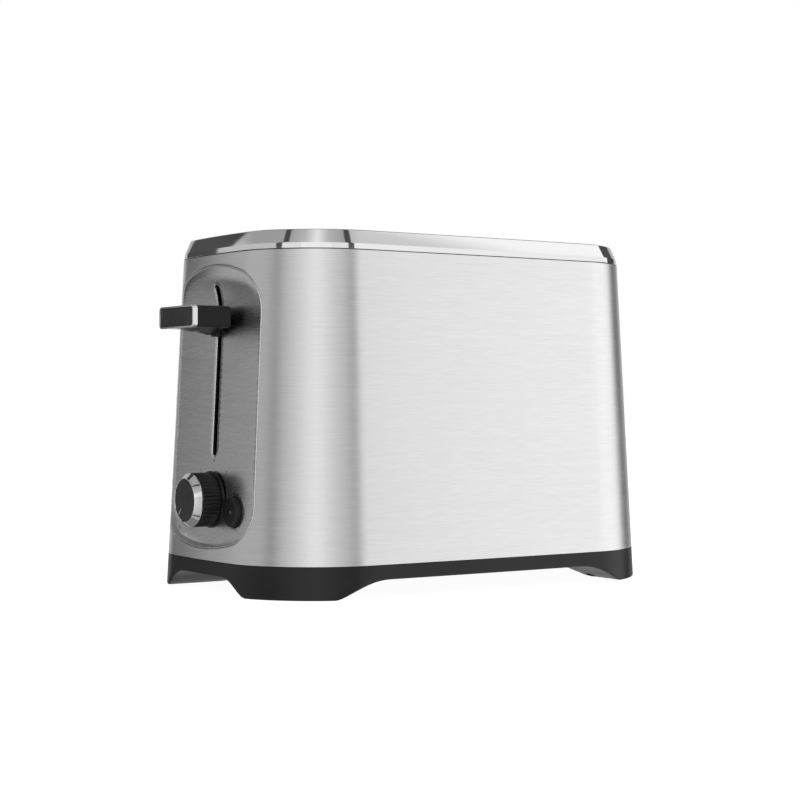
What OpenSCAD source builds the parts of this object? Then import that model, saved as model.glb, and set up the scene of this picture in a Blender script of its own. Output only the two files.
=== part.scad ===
// Two-slice pop up toaster. X runs along the length with the controls at -X,
// Z is up, and Z = 0 is the surface the four rubber pads stand on.

/* [Housing] */
// Half length of the steel skin at its bottom edge, without the convex end
skin_half_len = 127; // [125:0.5:130]
// Half width of the steel skin at its bottom edge, without the convex side
skin_half_wid = 82.2; // [81:0.2:84]
// Corner radius of the skin at its bottom edge
corner_r = 47.9; // [44:0.1:50]
// How far each end bows out
end_bow = 7.5; // [6:0.1:9]
// How far each long side bows out
side_bow = 1.6; // [0.5:0.1:2.5]
// Inward draft of the skin per millimetre of height
draft = 0.0505; // [0.045:0.0005:0.055]
// Height of the bottom edge of the skin
skin_bottom = 18; // [18:0.5:19]
// Height of the seam between the skin and the polished trim
skin_top = 184.2; // [184:0.1:185]
// Full height of the housing
total_height = 195; // [194:0.5:196]
// Thickness of the steel skin
skin_t = 1; // [0.8:0.1:1.2]

/* [Control end] */
// Depth of the recessed panel behind the foremost line of the end
panel_depth = 7; // [6.5:0.1:7.5]
// Lowest point of the panel opening
panel_low = 24; // [23:0.5:25]
// Highest point of the panel opening
panel_high = 178.8; // [177:0.2:179.6]
// Width of the slot the lever runs in
lever_slot_w = 4; // [3.8:0.1:5]
// Lowest point of the lever slot
lever_slot_low = 74.5; // [73:0.5:75]
// Highest point of the lever slot
lever_slot_high = 170; // [168:0.5:171]
// Height of the knob's axis
knob_z = 50.4; // [49:0.2:52]
// Diameter of the knob's fluted body
knob_d = 29.5; // [28:0.5:30]
// Number of flutes round the knob
flute_count = 40; // [24:2:44]
// Diameter of the cancel button
button_d = 16; // [14:0.5:17]

/* [Lever] */
// Width of the lever handle
handle_w = 40.4; // [36:0.4:44]
// Underside of the lever handle with the carriage up
handle_low = 143.6; // [143:0.2:144]
// Height of the lever handle
handle_h = 12; // [11:0.5:12.5]

/* [Bread slots] */
// Distance from the middle of the toaster to the middle of each bread slot
slot_y = 28; // [27:0.5:29]
// Width of each bread slot
slot_w = 36; // [32:1:36]
// Length of each bread slot
slot_len = 156; // [150:1:160]
// Height of the racks with the carriage up
rack_z = 97; // [96:0.5:98]

/* [Heaters] */
// Rows of heating ribbon on each heater board
ribbon_rows = 12; // [8:1:12]

/* [Hidden] */
$fn = 64;

// Colours
steel_colour = [0.80, 0.80, 0.81];
panel_colour = [0.52, 0.52, 0.54];
chrome_colour = [0.88, 0.88, 0.90];
plate_colour = [0.66, 0.67, 0.69];
black_colour = [0.13, 0.13, 0.14];
rubber_colour = [0.08, 0.08, 0.08];
mica_colour = [0.72, 0.66, 0.52];
ribbon_colour = [0.45, 0.42, 0.40];
board_colour = [0.10, 0.33, 0.20];
copper_colour = [0.72, 0.42, 0.22];
lead_colour = [0.85, 0.84, 0.80];

// Housing sections
arc_steps = 12;
side_steps = 10;
trim_break = skin_top + 3.5;
trim_inset_mid = 0.35;
trim_inset_top = 2.6;
trim_t = 2.6;
deck_top = total_height - 0.8;
deck_t = 1.2;
foot_bottom = 1.2;
base_floor_low = 10;
base_floor_top = 12.5;
base_wall = 3;

// Inside the housing
plate_x = 88;
plate_t = 1;
plate_half_w = 62;
plate_bottom = 21;
plate_top = 181;
board_low = 26;
board_high = 176;
board_t = 0.8;
board_y = 51;
reflector_y = 57;
ribbon_w = 1.6;
ribbon_t = 0.3;
ribbon_half_len = 80;
ribbon_first_z = 36;
ribbon_pitch = (board_high - 12 - ribbon_first_z) / (ribbon_rows - 1);
busbar_x = 94;

// Bread guides and carriage
guide_offset = 16;
guide_pivot_z = 42;
guide_top = 174;
guide_pin_r = 1.5;
pivot_clearance = 0.08;
guide_wires = 11;
tab_z = plate_top - 8;
hook_z = rack_z + 40;
rack_web_h = 9;
rack_web_t = 1.2;
rod_x = -97;
rod_y = 14;
rod_r = 2.5;
bracket_t = 1.2;
bracket_x = -plate_x - plate_t / 2 - 1.5 - bracket_t;
bush_r = 4.5;
bush_h = 24;
spring_y = -14;
magnet_x = -97.4;
magnet_y = -26;
magnet_core_w = 6;
magnet_foot = 3;
magnet_top = 44;
carriage_travel = 62;

// Controls
knob_back = -127.4;
knob_skirt_t = 1.5;
knob_body_front = -140.4;
knob_face = -144.2;
knob_face_r = 11.75;
shaft_r = 3;
shaft_pocket = 9;
button_y = -25.5;
button_z = 44.6;
button_proud = 4;
board_x = -108;
pcb_t = 1.6;
handle_front = -149.3;
handle_back = -126.1;
frame_depth = 2.9;
neck_drop = 4.2;

// Tray and feet
tray_half_w = 52;
tray_x0 = -84;
tray_x1 = 126;
pad_x = 109;
pad_y = 58.5;
pad_r = 6;
pad_seat = 1.5;
screw_x = 94;
screw_y = 58;
screw_r = 1.5;
screw_seat = 9;
boss_r = 4;
gland_y = 30;
gland_z = 36;
gland_bore_r = 3.6;

function half_len(z) = skin_half_len - draft * (z - skin_bottom);
function half_wid(z) = skin_half_wid - draft * (z - skin_bottom);
function round_r(z) = corner_r - 0.0463 * (z - skin_bottom);
// X of the convex end on the stretch between the corner arcs
function end_x(y, z) = half_len(z) + end_bow * (1 - pow(y / half_wid(z), 2));
// X of the recessed panel's front surface
function panel_x(z) = -(half_len(z) + end_bow) + panel_depth;

function bowed(p, a, b) = [
    p.x * (1 + end_bow / a * (1 - pow(p.y / b, 2)) * pow(p.x / a, 2)),
    p.y * (1 + side_bow / b * (1 - pow(p.x / a, 2)) * pow(p.y / b, 2))
];

// Rounded rectangle, counter-clockwise, with points along its straight stretches
function rounded_rect(a, b, r) = [
    for (q = [0:3])
        let (
            sx = (q == 0 || q == 3) ? 1 : -1,
            sy = q < 2 ? 1 : -1,
            c = [sx * (a - r), sy * (b - r)],
            nx = (q == 0 || q == 1) ? -1 : 1,
            ny = (q == 1 || q == 2) ? -1 : 1,
            run = q % 2 == 0 ? [nx * 2 * (a - r), 0] : [0, ny * 2 * (b - r)]
        )
        each concat(
            [for (k = [0:arc_steps])
                let (t = 90 * q + 90 * k / arc_steps) c + r * [cos(t), sin(t)]],
            [for (k = [1:side_steps - 1])
                c + r * [cos(90 * q + 90), sin(90 * q + 90)] + run * k / side_steps]
        )
];

// Outline of the housing at height z, moved inwards by inset, at height at
function section(z, inset = 0, at = undef) =
    let (a = half_len(z) - inset, b = half_wid(z) - inset, h = is_undef(at) ? z : at)
    [for (p = rounded_rect(a, b, round_r(z) - inset)) concat(bowed(p, a, b), h)];

// Two triangles for every step between neighbouring rings i and j
function ring_faces(n, i, j) = [
    for (k = [0:n - 1])
        let (m = (k + 1) % n)
        each [[i * n + k, j * n + k, j * n + m], [i * n + k, j * n + m, i * n + m]]
];

// Solid between the first ring at the bottom and the last at the top
module loft(rings) {
    n = len(rings[0]);
    last = len(rings) - 1;
    sides = [for (i = [0:last - 1]) each ring_faces(n, i, i + 1)];
    caps = [[for (k = [0:n - 1]) k], [for (k = [n - 1:-1:0]) last * n + k]];
    polyhedron(points = [for (r = rings) each r], faces = concat(sides, caps));
}

// Wall whose rings run up the outside and down the inside
module ring_wall(rings) {
    n = len(rings[0]);
    count = len(rings);
    faces = [for (i = [0:count - 1]) each ring_faces(n, i, (i + 1) % count)];
    polyhedron(points = [for (r = rings) each r], faces = faces);
}

// Tube of diameter d along a list of points
module swept_lead(path, d) {
    sides = 8;
    count = len(path);
    function unit(v) = v / norm(v);
    function dir(i) = unit(path[min(i + 1, count - 1)] - path[max(i - 1, 0)]);
    function across(v) = abs(v.z) > 0.9 ? unit(cross(v, [1, 0, 0])) : unit(cross(v, [0, 0, 1]));
    rings = [for (i = [0:count - 1])
        let (v = dir(i), s = across(v), u = cross(s, v))
        [for (k = [0:sides - 1])
            path[i] + d / 2 * (cos(360 * k / sides) * u + sin(360 * k / sides) * s)]];
    loft(rings);
}

// Points of a path with each corner cut by a bend of radius r
function bent(path, r) = [
    for (i = [0:len(path) - 1])
        each (i == 0 || i == len(path) - 1) ? [path[i]] :
            let (
                u = (path[i - 1] - path[i]) / norm(path[i - 1] - path[i]),
                v = (path[i + 1] - path[i]) / norm(path[i + 1] - path[i])
            )
            [for (t = [0:0.25:1])
                path[i] + r * (pow(1 - t, 2) * u + pow(t, 2) * v)]
];

// Prism along X from x0 to x1 of a shape drawn as [y, z]
module along_x(x0, x1) {
    translate([x0, 0, 0])
        rotate([90, 0, 90])
            linear_extrude(x1 - x0)
                children();
}

// Prism along Y from y0 to y1 of a shape drawn as [x, z]
module along_y(y0, y1) {
    translate([0, y1, 0])
        rotate([90, 0, 0])
            linear_extrude(y1 - y0)
                children();
}

// Cylinder along X
module rod_x_dir(r, x0, x1, y, z) {
    translate([x0, y, z])
        rotate([0, 90, 0])
            cylinder(r = r, h = x1 - x0);
}

// Rounded rectangle with exact arcs, centred
module rounded_plate(w, h, r) {
    square([w - 2 * r, h], center = true);
    square([w, h - 2 * r], center = true);
    for (sx = [-1, 1])
        for (sy = [-1, 1])
            translate([sx * (w / 2 - r), sy * (h / 2 - r)])
                circle(r = r);
}

// One end of the panel outline: a crown of radius crown tangent to corner arcs of radius r.
// Points run from the corner's side tangent to the middle, for half width w and end height h,
// with way = 1 for the top and -1 for the bottom.
function crown_end(w, h, crown, r, way) =
    let (
        c = w - r,
        lean = asin(c / (crown - r)),
        mid = h - way * crown,
        corner = mid + way * sqrt(pow(crown - r, 2) - c * c)
    )
    concat(
        [for (k = [0:10])
            let (t = 90 - (90 - lean) * k / 10)
            [c + r * sin(t), corner + way * r * cos(t)]],
        [for (k = [1:8])
            let (t = lean * (1 - k / 8))
            [crown * sin(t), mid + way * crown * cos(t)]]
    );

function reversed(list) = [for (i = [len(list) - 1:-1:0]) list[i]];
function flipped(list) = [for (p = list) [-p.x, p.y]];

// Outline of the panel opening as [y, z] points, moved inwards by inset
function panel_outline(inset) =
    let (
        top = crown_end(46.9 - inset, panel_high - inset, 101 - inset, 24 - inset, 1),
        low = crown_end(48.4 - inset, panel_low + inset, 150 - inset, 21 - inset, -1),
        right = concat(reversed(low), top)
    )
    concat(right, [for (i = [len(right) - 2:-1:1]) [-right[i].x, right[i].y]]);

// Everything in front of the recessed panel's plane, moved forwards by ahead
module before_panel(ahead = 0) {
    x0 = panel_x(0) - ahead;
    x1 = panel_x(total_height) - ahead;
    along_y(-60, 60)
        polygon([[-160, 0], [x0, 0], [x1, total_height], [-160, total_height]]);
}

module lever_slot_cut() {
    r = lever_slot_w / 2;
    along_x(-140, -100) {
        translate([-r, lever_slot_low + r])
            square([2 * r, lever_slot_high - lever_slot_low - 2 * r]);
        for (z = [lever_slot_low + r, lever_slot_high - r])
            translate([0, z])
                circle(r = r);
    }
}

module body_shell() {
    color(steel_colour)
        difference() {
            ring_wall([
                section(skin_bottom), section(skin_top),
                section(skin_top, skin_t), section(skin_bottom, skin_t)
            ]);
            along_x(-150, -100)
                polygon(panel_outline(0));
            rod_x_dir(gland_bore_r + 2.5, 110, 150, gland_y, gland_z);
        }
}

module control_panel() {
    clearance = 0.15;
    rim = 2;
    back = 1.4;
    color(panel_colour)
        difference() {
            intersection() {
                loft([section(skin_bottom), section(skin_top)]);
                along_x(-150, -100)
                    polygon(panel_outline(clearance));
                before_panel(-back);
            }
            intersection() {
                before_panel();
                along_x(-150, -100)
                    polygon(panel_outline(rim));
            }
            lever_slot_cut();
            rod_x_dir(shaft_r + 1.5, -140, -100, 0, knob_z);
            rod_x_dir(button_d / 2 + 0.3, -140, -100, button_y, button_z);
        }
}

module top_trim() {
    lip_low = skin_top - 5;
    lip_in = skin_t + 0.15;
    lip_t = 1.5;
    color(chrome_colour)
        ring_wall([
            section(skin_top), section(trim_break, trim_inset_mid),
            section(total_height, trim_inset_top),
            section(total_height, trim_inset_top + trim_t),
            section(skin_top + 2, trim_inset_top + trim_t),
            section(skin_top + 1, lip_in + lip_t), section(lip_low, lip_in + lip_t),
            section(lip_low, lip_in), section(skin_top, lip_in)
        ]);
}

module slot_outline(grow = 0) {
    rounded_plate(slot_len + 2 * grow, slot_w + 2 * grow, 6 + grow);
}

module top_plate() {
    edge = trim_inset_top + trim_t + 0.05;
    flat_z = total_height - 2;
    lip_t = 0.9;
    lip_low = plate_top + 0.5;
    color(plate_colour)
        difference() {
            union() {
                loft([
                    section(flat_z, edge, deck_top - deck_t),
                    section(flat_z, edge, deck_top)
                ]);
                for (side = [-1, 1])
                    translate([0, side * slot_y, lip_low])
                        linear_extrude(total_height - lip_low)
                            slot_outline(lip_t);
            }
            for (side = [-1, 1])
                translate([0, side * slot_y, lip_low - 1])
                    linear_extrude(total_height - lip_low + 2)
                        slot_outline();
        }
}

// Repeats a shape at (x, y) in each of the four corners
module at_corners(x, y) {
    for (sx = [-1, 1])
        for (sy = [-1, 1])
            translate([sx * x, sy * y, 0])
                children();
}

// Rise of the arch between two feet: flat feet outside foot, full height inside crest
function arch(foot, crest) =
    let (
        rise = base_floor_low - foot_bottom,
        half = [for (t = [0:0.125:1])
            [foot - (foot - crest) * t, foot_bottom + rise * (1 - pow(1 - t, 2))]]
    )
    concat(half, reversed(flipped(half)), [[-foot, -5], [foot, -5]]);

module base_housing() {
    lip_in = skin_t + 0.15;
    color(black_colour)
        difference() {
            union() {
                loft([section(foot_bottom), section(skin_bottom)]);
                ring_wall([
                    section(skin_bottom - 1, lip_in), section(skin_bottom + 5, lip_in),
                    section(skin_bottom + 5, lip_in + 2), section(skin_bottom - 1, lip_in + 2)
                ]);
            }
            difference() {
                loft([section(base_floor_top, base_wall), section(skin_bottom + 1, base_wall)]);
                at_corners(screw_x, screw_y)
                    cylinder(r = boss_r, h = skin_bottom);
            }
            along_y(-100, 100)
                polygon(arch(100.5, 71.6));
            along_x(-150, 150)
                polygon(arch(50.5, 28.8));
            // way out for the crumb tray
            translate([90, -tray_half_w - 0.5, base_floor_top])
                cube([60, 2 * tray_half_w + 1, 20]);
            // seats of the foot pads
            at_corners(pad_x, pad_y)
                cylinder(r = pad_r + 0.1, h = foot_bottom + pad_seat);
            at_corners(screw_x, screw_y) {
                cylinder(r = 3.6, h = screw_seat);
                cylinder(r = screw_r + 0.1, h = plate_bottom + 1);
            }
            // cooling slots in the floor
            for (i = [-5:5])
                translate([i * 12, 0, base_floor_low - 1])
                    linear_extrude(5)
                        rounded_plate(4, 56, 1.9);
        }
    // bosses the chassis plates stand on
    color(black_colour)
        at_corners(screw_x, screw_y)
            translate([0, 0, skin_bottom - 0.5])
                difference() {
                    cylinder(r = boss_r, h = plate_bottom - skin_bottom + 0.5);
                    translate([0, 0, -1])
                        cylinder(r = screw_r + 0.1, h = 10);
                }
}

module foot_pads() {
    bevel = 0.8;
    color(rubber_colour)
        at_corners(pad_x, pad_y) {
            cylinder(r1 = pad_r - bevel, r2 = pad_r, h = bevel);
            translate([0, 0, bevel])
                cylinder(r = pad_r, h = foot_bottom + pad_seat - bevel);
        }
}

// Upright sheet at one end of the bread chamber; way is -1 at the control end
module chassis_plate(way) {
    x0 = way * plate_x - plate_t / 2;
    foot_x = way > 0 ? plate_x - plate_t / 2 : -112;
    foot_len = way > 0 ? 20 : 112 - plate_x + plate_t / 2;
    color(plate_colour)
        difference() {
            union() {
                translate([x0, -plate_half_w, plate_bottom])
                    cube([plate_t, 2 * plate_half_w, plate_top - plate_bottom]);
                translate([foot_x, -plate_half_w, plate_bottom])
                    cube([foot_len, 2 * plate_half_w, plate_t]);
            }
            for (side = [-1, 1]) {
                translate([x0 - 1, side * slot_y - 2, plate_bottom + 2])
                    cube([plate_t + 2, 4, rack_z + 14 - plate_bottom - 2]);
                translate([way * screw_x, side * screw_y, plate_bottom - 1])
                    cylinder(r = screw_r + 0.1, h = plate_t + 2);
                for (offset = [-guide_offset, guide_offset])
                    rod_x_dir(guide_pin_r + pivot_clearance, x0 - 1, x0 + plate_t + 1,
                        side * slot_y + offset, guide_pivot_z);
            }
        }
}

module front_chassis_plate() {
    tab = 16;
    chassis_plate(-1);
    // bent tab that holds the top of the guide rod
    color(plate_colour)
        difference() {
            translate([-plate_x - plate_t / 2 - tab, rod_y - 6, tab_z])
                cube([tab, 12, plate_t]);
            translate([rod_x, rod_y, tab_z - 1])
                cylinder(r = rod_r, h = plate_t + 2);
        }
    // bent tab the lift spring hangs from
    color(plate_colour)
        translate([-plate_x - plate_t / 2 - tab + 3, spring_y - 4, tab_z])
            cube([tab - 3, 8, plate_t]);
}

module rear_chassis_plate() {
    difference() {
        chassis_plate(1);
        // ways out for the ends of the heating ribbons
        for (y = [-board_y + 1, 1, board_y - 1])
            for (z = [row_z(0), row_z(ribbon_rows - 1)])
                rod_x_dir(3, plate_x - 2, plate_x + 2, y, z);
    }
}

module reflector(side) {
    color(plate_colour)
        difference() {
            translate([-plate_x + plate_t / 2, side * reflector_y - 0.3, board_low - 4])
                cube([2 * plate_x - plate_t, 0.6, plate_top - board_low + 3]);
            for (i = [-3:3])
                along_y(side * reflector_y - 2, side * reflector_y + 2)
                    translate([i * 22, board_high - 8])
                        rounded_plate(14, 4, 1.9);
        }
}

module reflector_left() reflector(1);
module reflector_right() reflector(-1);

function row_z(i) = ribbon_first_z + i * ribbon_pitch;

module mica_board(y) {
    color(mica_colour)
        difference() {
            translate([-plate_x + plate_t / 2, y - board_t / 2, board_low])
                cube([2 * plate_x - plate_t, board_t, board_high - board_low]);
            for (i = [0:ribbon_rows - 1])
                for (sx = [-1, 1])
                    translate([sx * ribbon_half_len - 1, y - 2, row_z(i) - 1.2])
                        cube([2, 4, 2.4]);
        }
}

module mica_board_left() mica_board(board_y);
module mica_board_center() mica_board(0);
module mica_board_right() mica_board(-board_y);

// Ribbon wound on one board, with its two ends led out through the rear plate
module heating_wire(y, face) {
    half = board_t / 2 + ribbon_t;
    strip_y = face > 0 ? y + board_t / 2 : y - half;
    color(ribbon_colour)
        union() {
            for (i = [0:ribbon_rows - 1])
                translate([-ribbon_half_len, 0, row_z(i) - ribbon_w / 2])
                    difference() {
                        translate([0, y - half, 0])
                            cube([2 * ribbon_half_len, 2 * half, ribbon_w]);
                        translate([ribbon_t, y - board_t / 2, -1])
                            cube([2 * (ribbon_half_len - ribbon_t), board_t, ribbon_w + 2]);
                    }
            for (i = [0:ribbon_rows - 2])
                translate([(i % 2 == 0 ? -1 : 1) * (ribbon_half_len - 5), strip_y, row_z(i)])
                    cube([ribbon_w, ribbon_t, ribbon_pitch]);
            for (z = [row_z(0), row_z(ribbon_rows - 1)])
                translate([ribbon_half_len - 4, strip_y, z - ribbon_w / 2])
                    cube([busbar_x - ribbon_half_len + 4, ribbon_t, ribbon_w]);
        }
}

module heating_wire_left() heating_wire(board_y, -1);
module heating_wire_center() heating_wire(0, 1);
module heating_wire_right() heating_wire(-board_y, 1);

module busbar(z) {
    color(plate_colour)
        translate([busbar_x, -board_y - 3, z - 3])
            cube([1, 2 * board_y + 6, 6]);
}

module neutral_busbar() busbar(row_z(0));
module live_busbar() busbar(row_z(ribbon_rows - 1));

// Wire grid beside a bread slot, swinging on the long pin at its foot
module bread_guide(y, face) {
    wire_r = 0.9;
    bar_r = 1.1;
    wire_y = y - face * 1.5;
    half = 72;
    color(chrome_colour)
        union() {
            rod_x_dir(guide_pin_r, -plate_x - 1.5, plate_x + 1.5, y, guide_pivot_z);
            for (z = [guide_pivot_z + 44, guide_pivot_z + 88, guide_top - 4])
                rod_x_dir(bar_r, -half - 4, half + 4, y, z);
            for (i = [0:guide_wires - 1])
                translate([-half + 2 * half * i / (guide_wires - 1), wire_y, guide_pivot_z - 1])
                    cylinder(r = wire_r, h = guide_top - guide_pivot_z);
        }
}

module bread_guide_left_outer() bread_guide(slot_y + guide_offset, 1);
module bread_guide_left_inner() bread_guide(slot_y - guide_offset, -1);
module bread_guide_right_inner() bread_guide(-slot_y + guide_offset, 1);
module bread_guide_right_outer() bread_guide(-slot_y - guide_offset, -1);

// Rack a slice stands on: a ledge with cross bars on an upright web
module bread_rack(y) {
    ledge_half = 78;
    color(plate_colour)
        translate([0, y, rack_z]) {
            translate([bracket_x + bracket_t, -rack_web_t / 2, -rack_web_h])
                cube([plate_x + 5 - bracket_x - bracket_t, rack_web_t, rack_web_h]);
            translate([-ledge_half, -3, 0])
                cube([2 * ledge_half, 6, 1.2]);
            for (i = [-6:6])
                translate([i * 12 - 1.5, -7, 0])
                    cube([3, 14, 1.2]);
        }
}

module bread_rack_left() bread_rack(slot_y);
module bread_rack_right() bread_rack(-slot_y);

module carriage_bracket() {
    web_low = rack_z - rack_web_h - 1;
    ear_z = magnet_top + carriage_travel + 1.4;
    ear = 7;
    arm_low = handle_low - 3;
    color(plate_colour)
        union() {
            translate([bracket_x, -slot_y - 5, web_low])
                cube([bracket_t, 2 * slot_y + 10, 12]);
            translate([bracket_x, -20, web_low])
                cube([bracket_t, 42, 56]);
            translate([bracket_x, -6, web_low])
                cube([bracket_t, 12, arm_low + 12 - web_low]);
            // ear that carries the latch plate over the magnet
            translate([bracket_x - ear, magnet_y - 6, ear_z])
                cube([ear, 12, bracket_t]);
            translate([bracket_x, magnet_y - 6, web_low])
                cube([bracket_t, 14, ear_z + bracket_t - web_low]);
            // hook for the lift spring
            translate([bracket_x - 8, spring_y - 3, hook_z])
                cube([8, 6, bracket_t]);
        }
}

module carriage_bush() {
    low = rack_z + 8;
    color(black_colour)
        translate([0, 0, low])
            difference() {
                union() {
                    translate([rod_x, rod_y, 0])
                        cylinder(r = bush_r, h = bush_h);
                    translate([rod_x, rod_y - 3, 3])
                        cube([bracket_x - rod_x, 6, bush_h - 6]);
                }
                translate([rod_x, rod_y, -1])
                    cylinder(r = rod_r + pivot_clearance, h = bush_h + 2);
            }
}

module guide_rod() {
    color(chrome_colour)
        translate([rod_x, rod_y, plate_bottom + plate_t])
            cylinder(r = rod_r, h = plate_top - 5 - plate_bottom - plate_t);
}

// Lift spring between the carriage's hook and the front plate's tab
module carriage_spring() {
    spring_x = bracket_x - 5;
    coil_r = 2.6;
    wire_r = 0.5;
    low = hook_z + bracket_t + wire_r + 0.1;
    high = tab_z - wire_r - 0.05;
    turns = 16;
    steps = 10;
    path = [for (i = [0:turns * steps])
        let (t = 360 * i / steps)
        [spring_x + coil_r * cos(t), spring_y + coil_r * sin(t),
            low + (high - low) * i / (turns * steps)]];
    color(plate_colour)
        swept_coil(path, wire_r);
}

// Wire of radius r along a coil that climbs in Z
module swept_coil(path, r) {
    sides = 6;
    count = len(path);
    rings = [for (i = [0:count - 1])
        let (
            v = path[min(i + 1, count - 1)] - path[max(i - 1, 0)],
            d = v / norm(v),
            s = cross(d, [0, 0, 1]) / norm(cross(d, [0, 0, 1])),
            u = cross(s, d)
        )
        [for (k = [0:sides - 1])
            path[i] + r * (cos(360 * k / sides) * u + sin(360 * k / sides) * s)]];
    loft(rings);
}

module latch_plate() {
    color(plate_colour)
        translate([bracket_x - 10, magnet_y - 6.5, magnet_top + carriage_travel + 0.4])
            cube([9.5, 13, 1]);
}

module magnet_core() {
    color(ribbon_colour)
        translate([magnet_x, magnet_y, plate_bottom + plate_t]) {
            translate([-magnet_core_w / 2, -9, 0])
                cube([magnet_core_w, 18, magnet_foot]);
            translate([-magnet_core_w / 2, -magnet_core_w / 2, 0])
                cube([magnet_core_w, magnet_core_w, magnet_top - plate_bottom - plate_t]);
        }
}

module magnet_coil() {
    coil_h = 15;
    color(copper_colour)
        translate([magnet_x, magnet_y, plate_bottom + plate_t + magnet_foot])
            linear_extrude(coil_h)
                difference() {
                    rounded_plate(11, 12, 2);
                    square(magnet_core_w, center = true);
                }
}

module lever_arm() {
    color(plate_colour)
        translate([handle_back - 12, -1, handle_low - 2])
            cube([bracket_x - handle_back + 12, 2, 9]);
}

module handle_section(inset) {
    translate([0, handle_low + handle_h / 2])
        rounded_plate(handle_w - 2 * inset, handle_h - 2 * inset, 2.4 - inset);
}

module lever_handle() {
    seam = handle_front + frame_depth;
    color(black_colour)
        difference() {
            union() {
                along_x(seam, handle_back)
                    handle_section(0.15);
                // neck under the block
                along_y(-5, 5)
                    polygon([
                        [seam + 1, handle_low + 1], [handle_back, handle_low + 1],
                        [handle_back, handle_low - neck_drop],
                        [handle_back - 5, handle_low - neck_drop]
                    ]);
                // tongue that runs in the slot
                translate([handle_back - 1, -1.5, handle_low - neck_drop])
                    cube([8, 3, handle_h]);
            }
            translate([handle_back - 12, -1, handle_low - 2])
                cube([40, 2, 9]);
        }
}

module lever_trim() {
    color(chrome_colour)
        difference() {
            along_x(handle_front, handle_front + frame_depth)
                handle_section(0);
            along_x(handle_front - 1, handle_front + 1.6)
                handle_section(1.6);
        }
}

module lever_inlay() {
    color(black_colour)
        along_x(handle_front + 0.4, handle_front + 1.6)
            handle_section(1.6);
}

module knob_body() {
    color(black_colour)
        difference() {
            along_x(knob_body_front, knob_back - knob_skirt_t)
                translate([0, knob_z])
                    difference() {
                        circle(r = knob_d / 2, $fn = 96);
                        for (i = [0:flute_count - 1])
                            rotate(360 * i / flute_count)
                                translate([knob_d / 2 + 0.35, 0])
                                    circle(r = 0.7, $fn = 24);
                    }
            rod_x_dir(shaft_r, knob_back - knob_skirt_t - shaft_pocket, knob_back, 0, knob_z);
        }
}

module knob_skirt() {
    color(black_colour)
        difference() {
            rod_x_dir(knob_d / 2 + 0.75, knob_back - knob_skirt_t, knob_back, 0, knob_z);
            rod_x_dir(shaft_r, knob_back - 5, knob_back + 5, 0, knob_z);
        }
}

module knob_ring() {
    depth = knob_body_front - knob_face;
    color(chrome_colour)
        translate([knob_face, 0, knob_z])
            rotate([0, 90, 0])
                rotate_extrude($fn = 96)
                    polygon([
                        [knob_face_r - 0.1, 0.3], [knob_face_r, 0],
                        [knob_d / 2 - 0.1, depth - 0.4], [knob_d / 2 - 0.1, depth],
                        [knob_face_r - 1, depth], [knob_face_r - 1, 0.6]
                    ]);
}

module knob_cap() {
    depth = knob_body_front - knob_face;
    color(black_colour)
        translate([knob_face, 0, knob_z])
            rotate([0, 90, 0])
                rotate_extrude($fn = 96)
                    polygon([
                        [0, 0.1], [knob_face_r - 0.15, 0.1], [knob_face_r - 0.15, 0.25],
                        [knob_face_r - 1.05, 0.55], [knob_face_r - 1.05, depth], [0, depth]
                    ]);
}

module timer_shaft() {
    color(plate_colour)
        rod_x_dir(shaft_r, knob_back - knob_skirt_t - shaft_pocket, board_x - 2, 0, knob_z);
}

module timer_control() {
    color(black_colour)
        difference() {
            union() {
                translate([board_x - 7, -8, knob_z - 8])
                    cube([7, 16, 16]);
                rod_x_dir(shaft_r + 1.4, board_x - 11, board_x - 7, 0, knob_z);
            }
            rod_x_dir(shaft_r + pivot_clearance, board_x - 12, board_x - 1.5, 0, knob_z);
        }
}

module cancel_button() {
    front = panel_x(button_z) - button_proud;
    back = panel_x(button_z) + 3;
    color(black_colour)
        translate([0, button_y, button_z])
            difference() {
                union() {
                    rod_x_dir(button_d / 2, front, back, 0, 0);
                    rod_x_dir(button_d / 2 + 1.5, panel_x(button_z) + 2.6, back + 1.2, 0, 0);
                    rod_x_dir(2, back, board_x - 9.2, 0, 0);
                }
                rod_x_dir(1, front - 1, front + 0.3, 0, 0);
            }
}

module stop_switch() {
    color(black_colour)
        translate([board_x - 5, button_y, button_z]) {
            translate([0, -3.5, -3.5])
                cube([5, 7, 7]);
            rod_x_dir(1.6, -1.4, 0, 0, 0);
        }
}

// Cylinder along X at each of the control board's four fixings
module at_board_fixings(r, x0, x1) {
    for (y = [-42, 42])
        for (z = [30, 66])
            rod_x_dir(r, x0, x1, y, z);
}

module control_board() {
    color(board_colour)
        difference() {
            translate([board_x, -46, 26])
                cube([pcb_t, 92, 44]);
            at_board_fixings(screw_r + 0.1, board_x - 1, board_x + pcb_t + 1);
        }
}

module board_posts() {
    color(plate_colour)
        at_board_fixings(3, board_x + pcb_t, -plate_x - plate_t / 2);
}

module board_screws() {
    color(plate_colour) {
        at_board_fixings(2.8, board_x - 2, board_x);
        at_board_fixings(screw_r, board_x - 0.5, board_x + pcb_t);
    }
}

module power_contacts() {
    color(copper_colour)
        for (y = [-12, -4])
            translate([board_x + pcb_t, y - 2, 0]) {
                translate([0, 0, 54])
                    cube([6, 4, 8]);
                translate([6, 0.5, 58])
                    cube([6, 3, 0.8]);
            }
}

module terminal_block() {
    color(lead_colour)
        difference() {
            translate([plate_x + 12, -12, plate_bottom + plate_t])
                cube([12, 24, 13]);
            for (y = [-6, 6])
                rod_x_dir(2, plate_x + 18, plate_x + 26, y, plate_bottom + plate_t + 8);
        }
}

module thermal_fuse() {
    color(chrome_colour)
        translate([plate_x + plate_t / 2, 0, 120])
            union() {
                rod_x_dir(6, 0, 4, 0, 0);
                translate([4, -2, -9])
                    cube([0.8, 4, 18]);
            }
}

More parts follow.
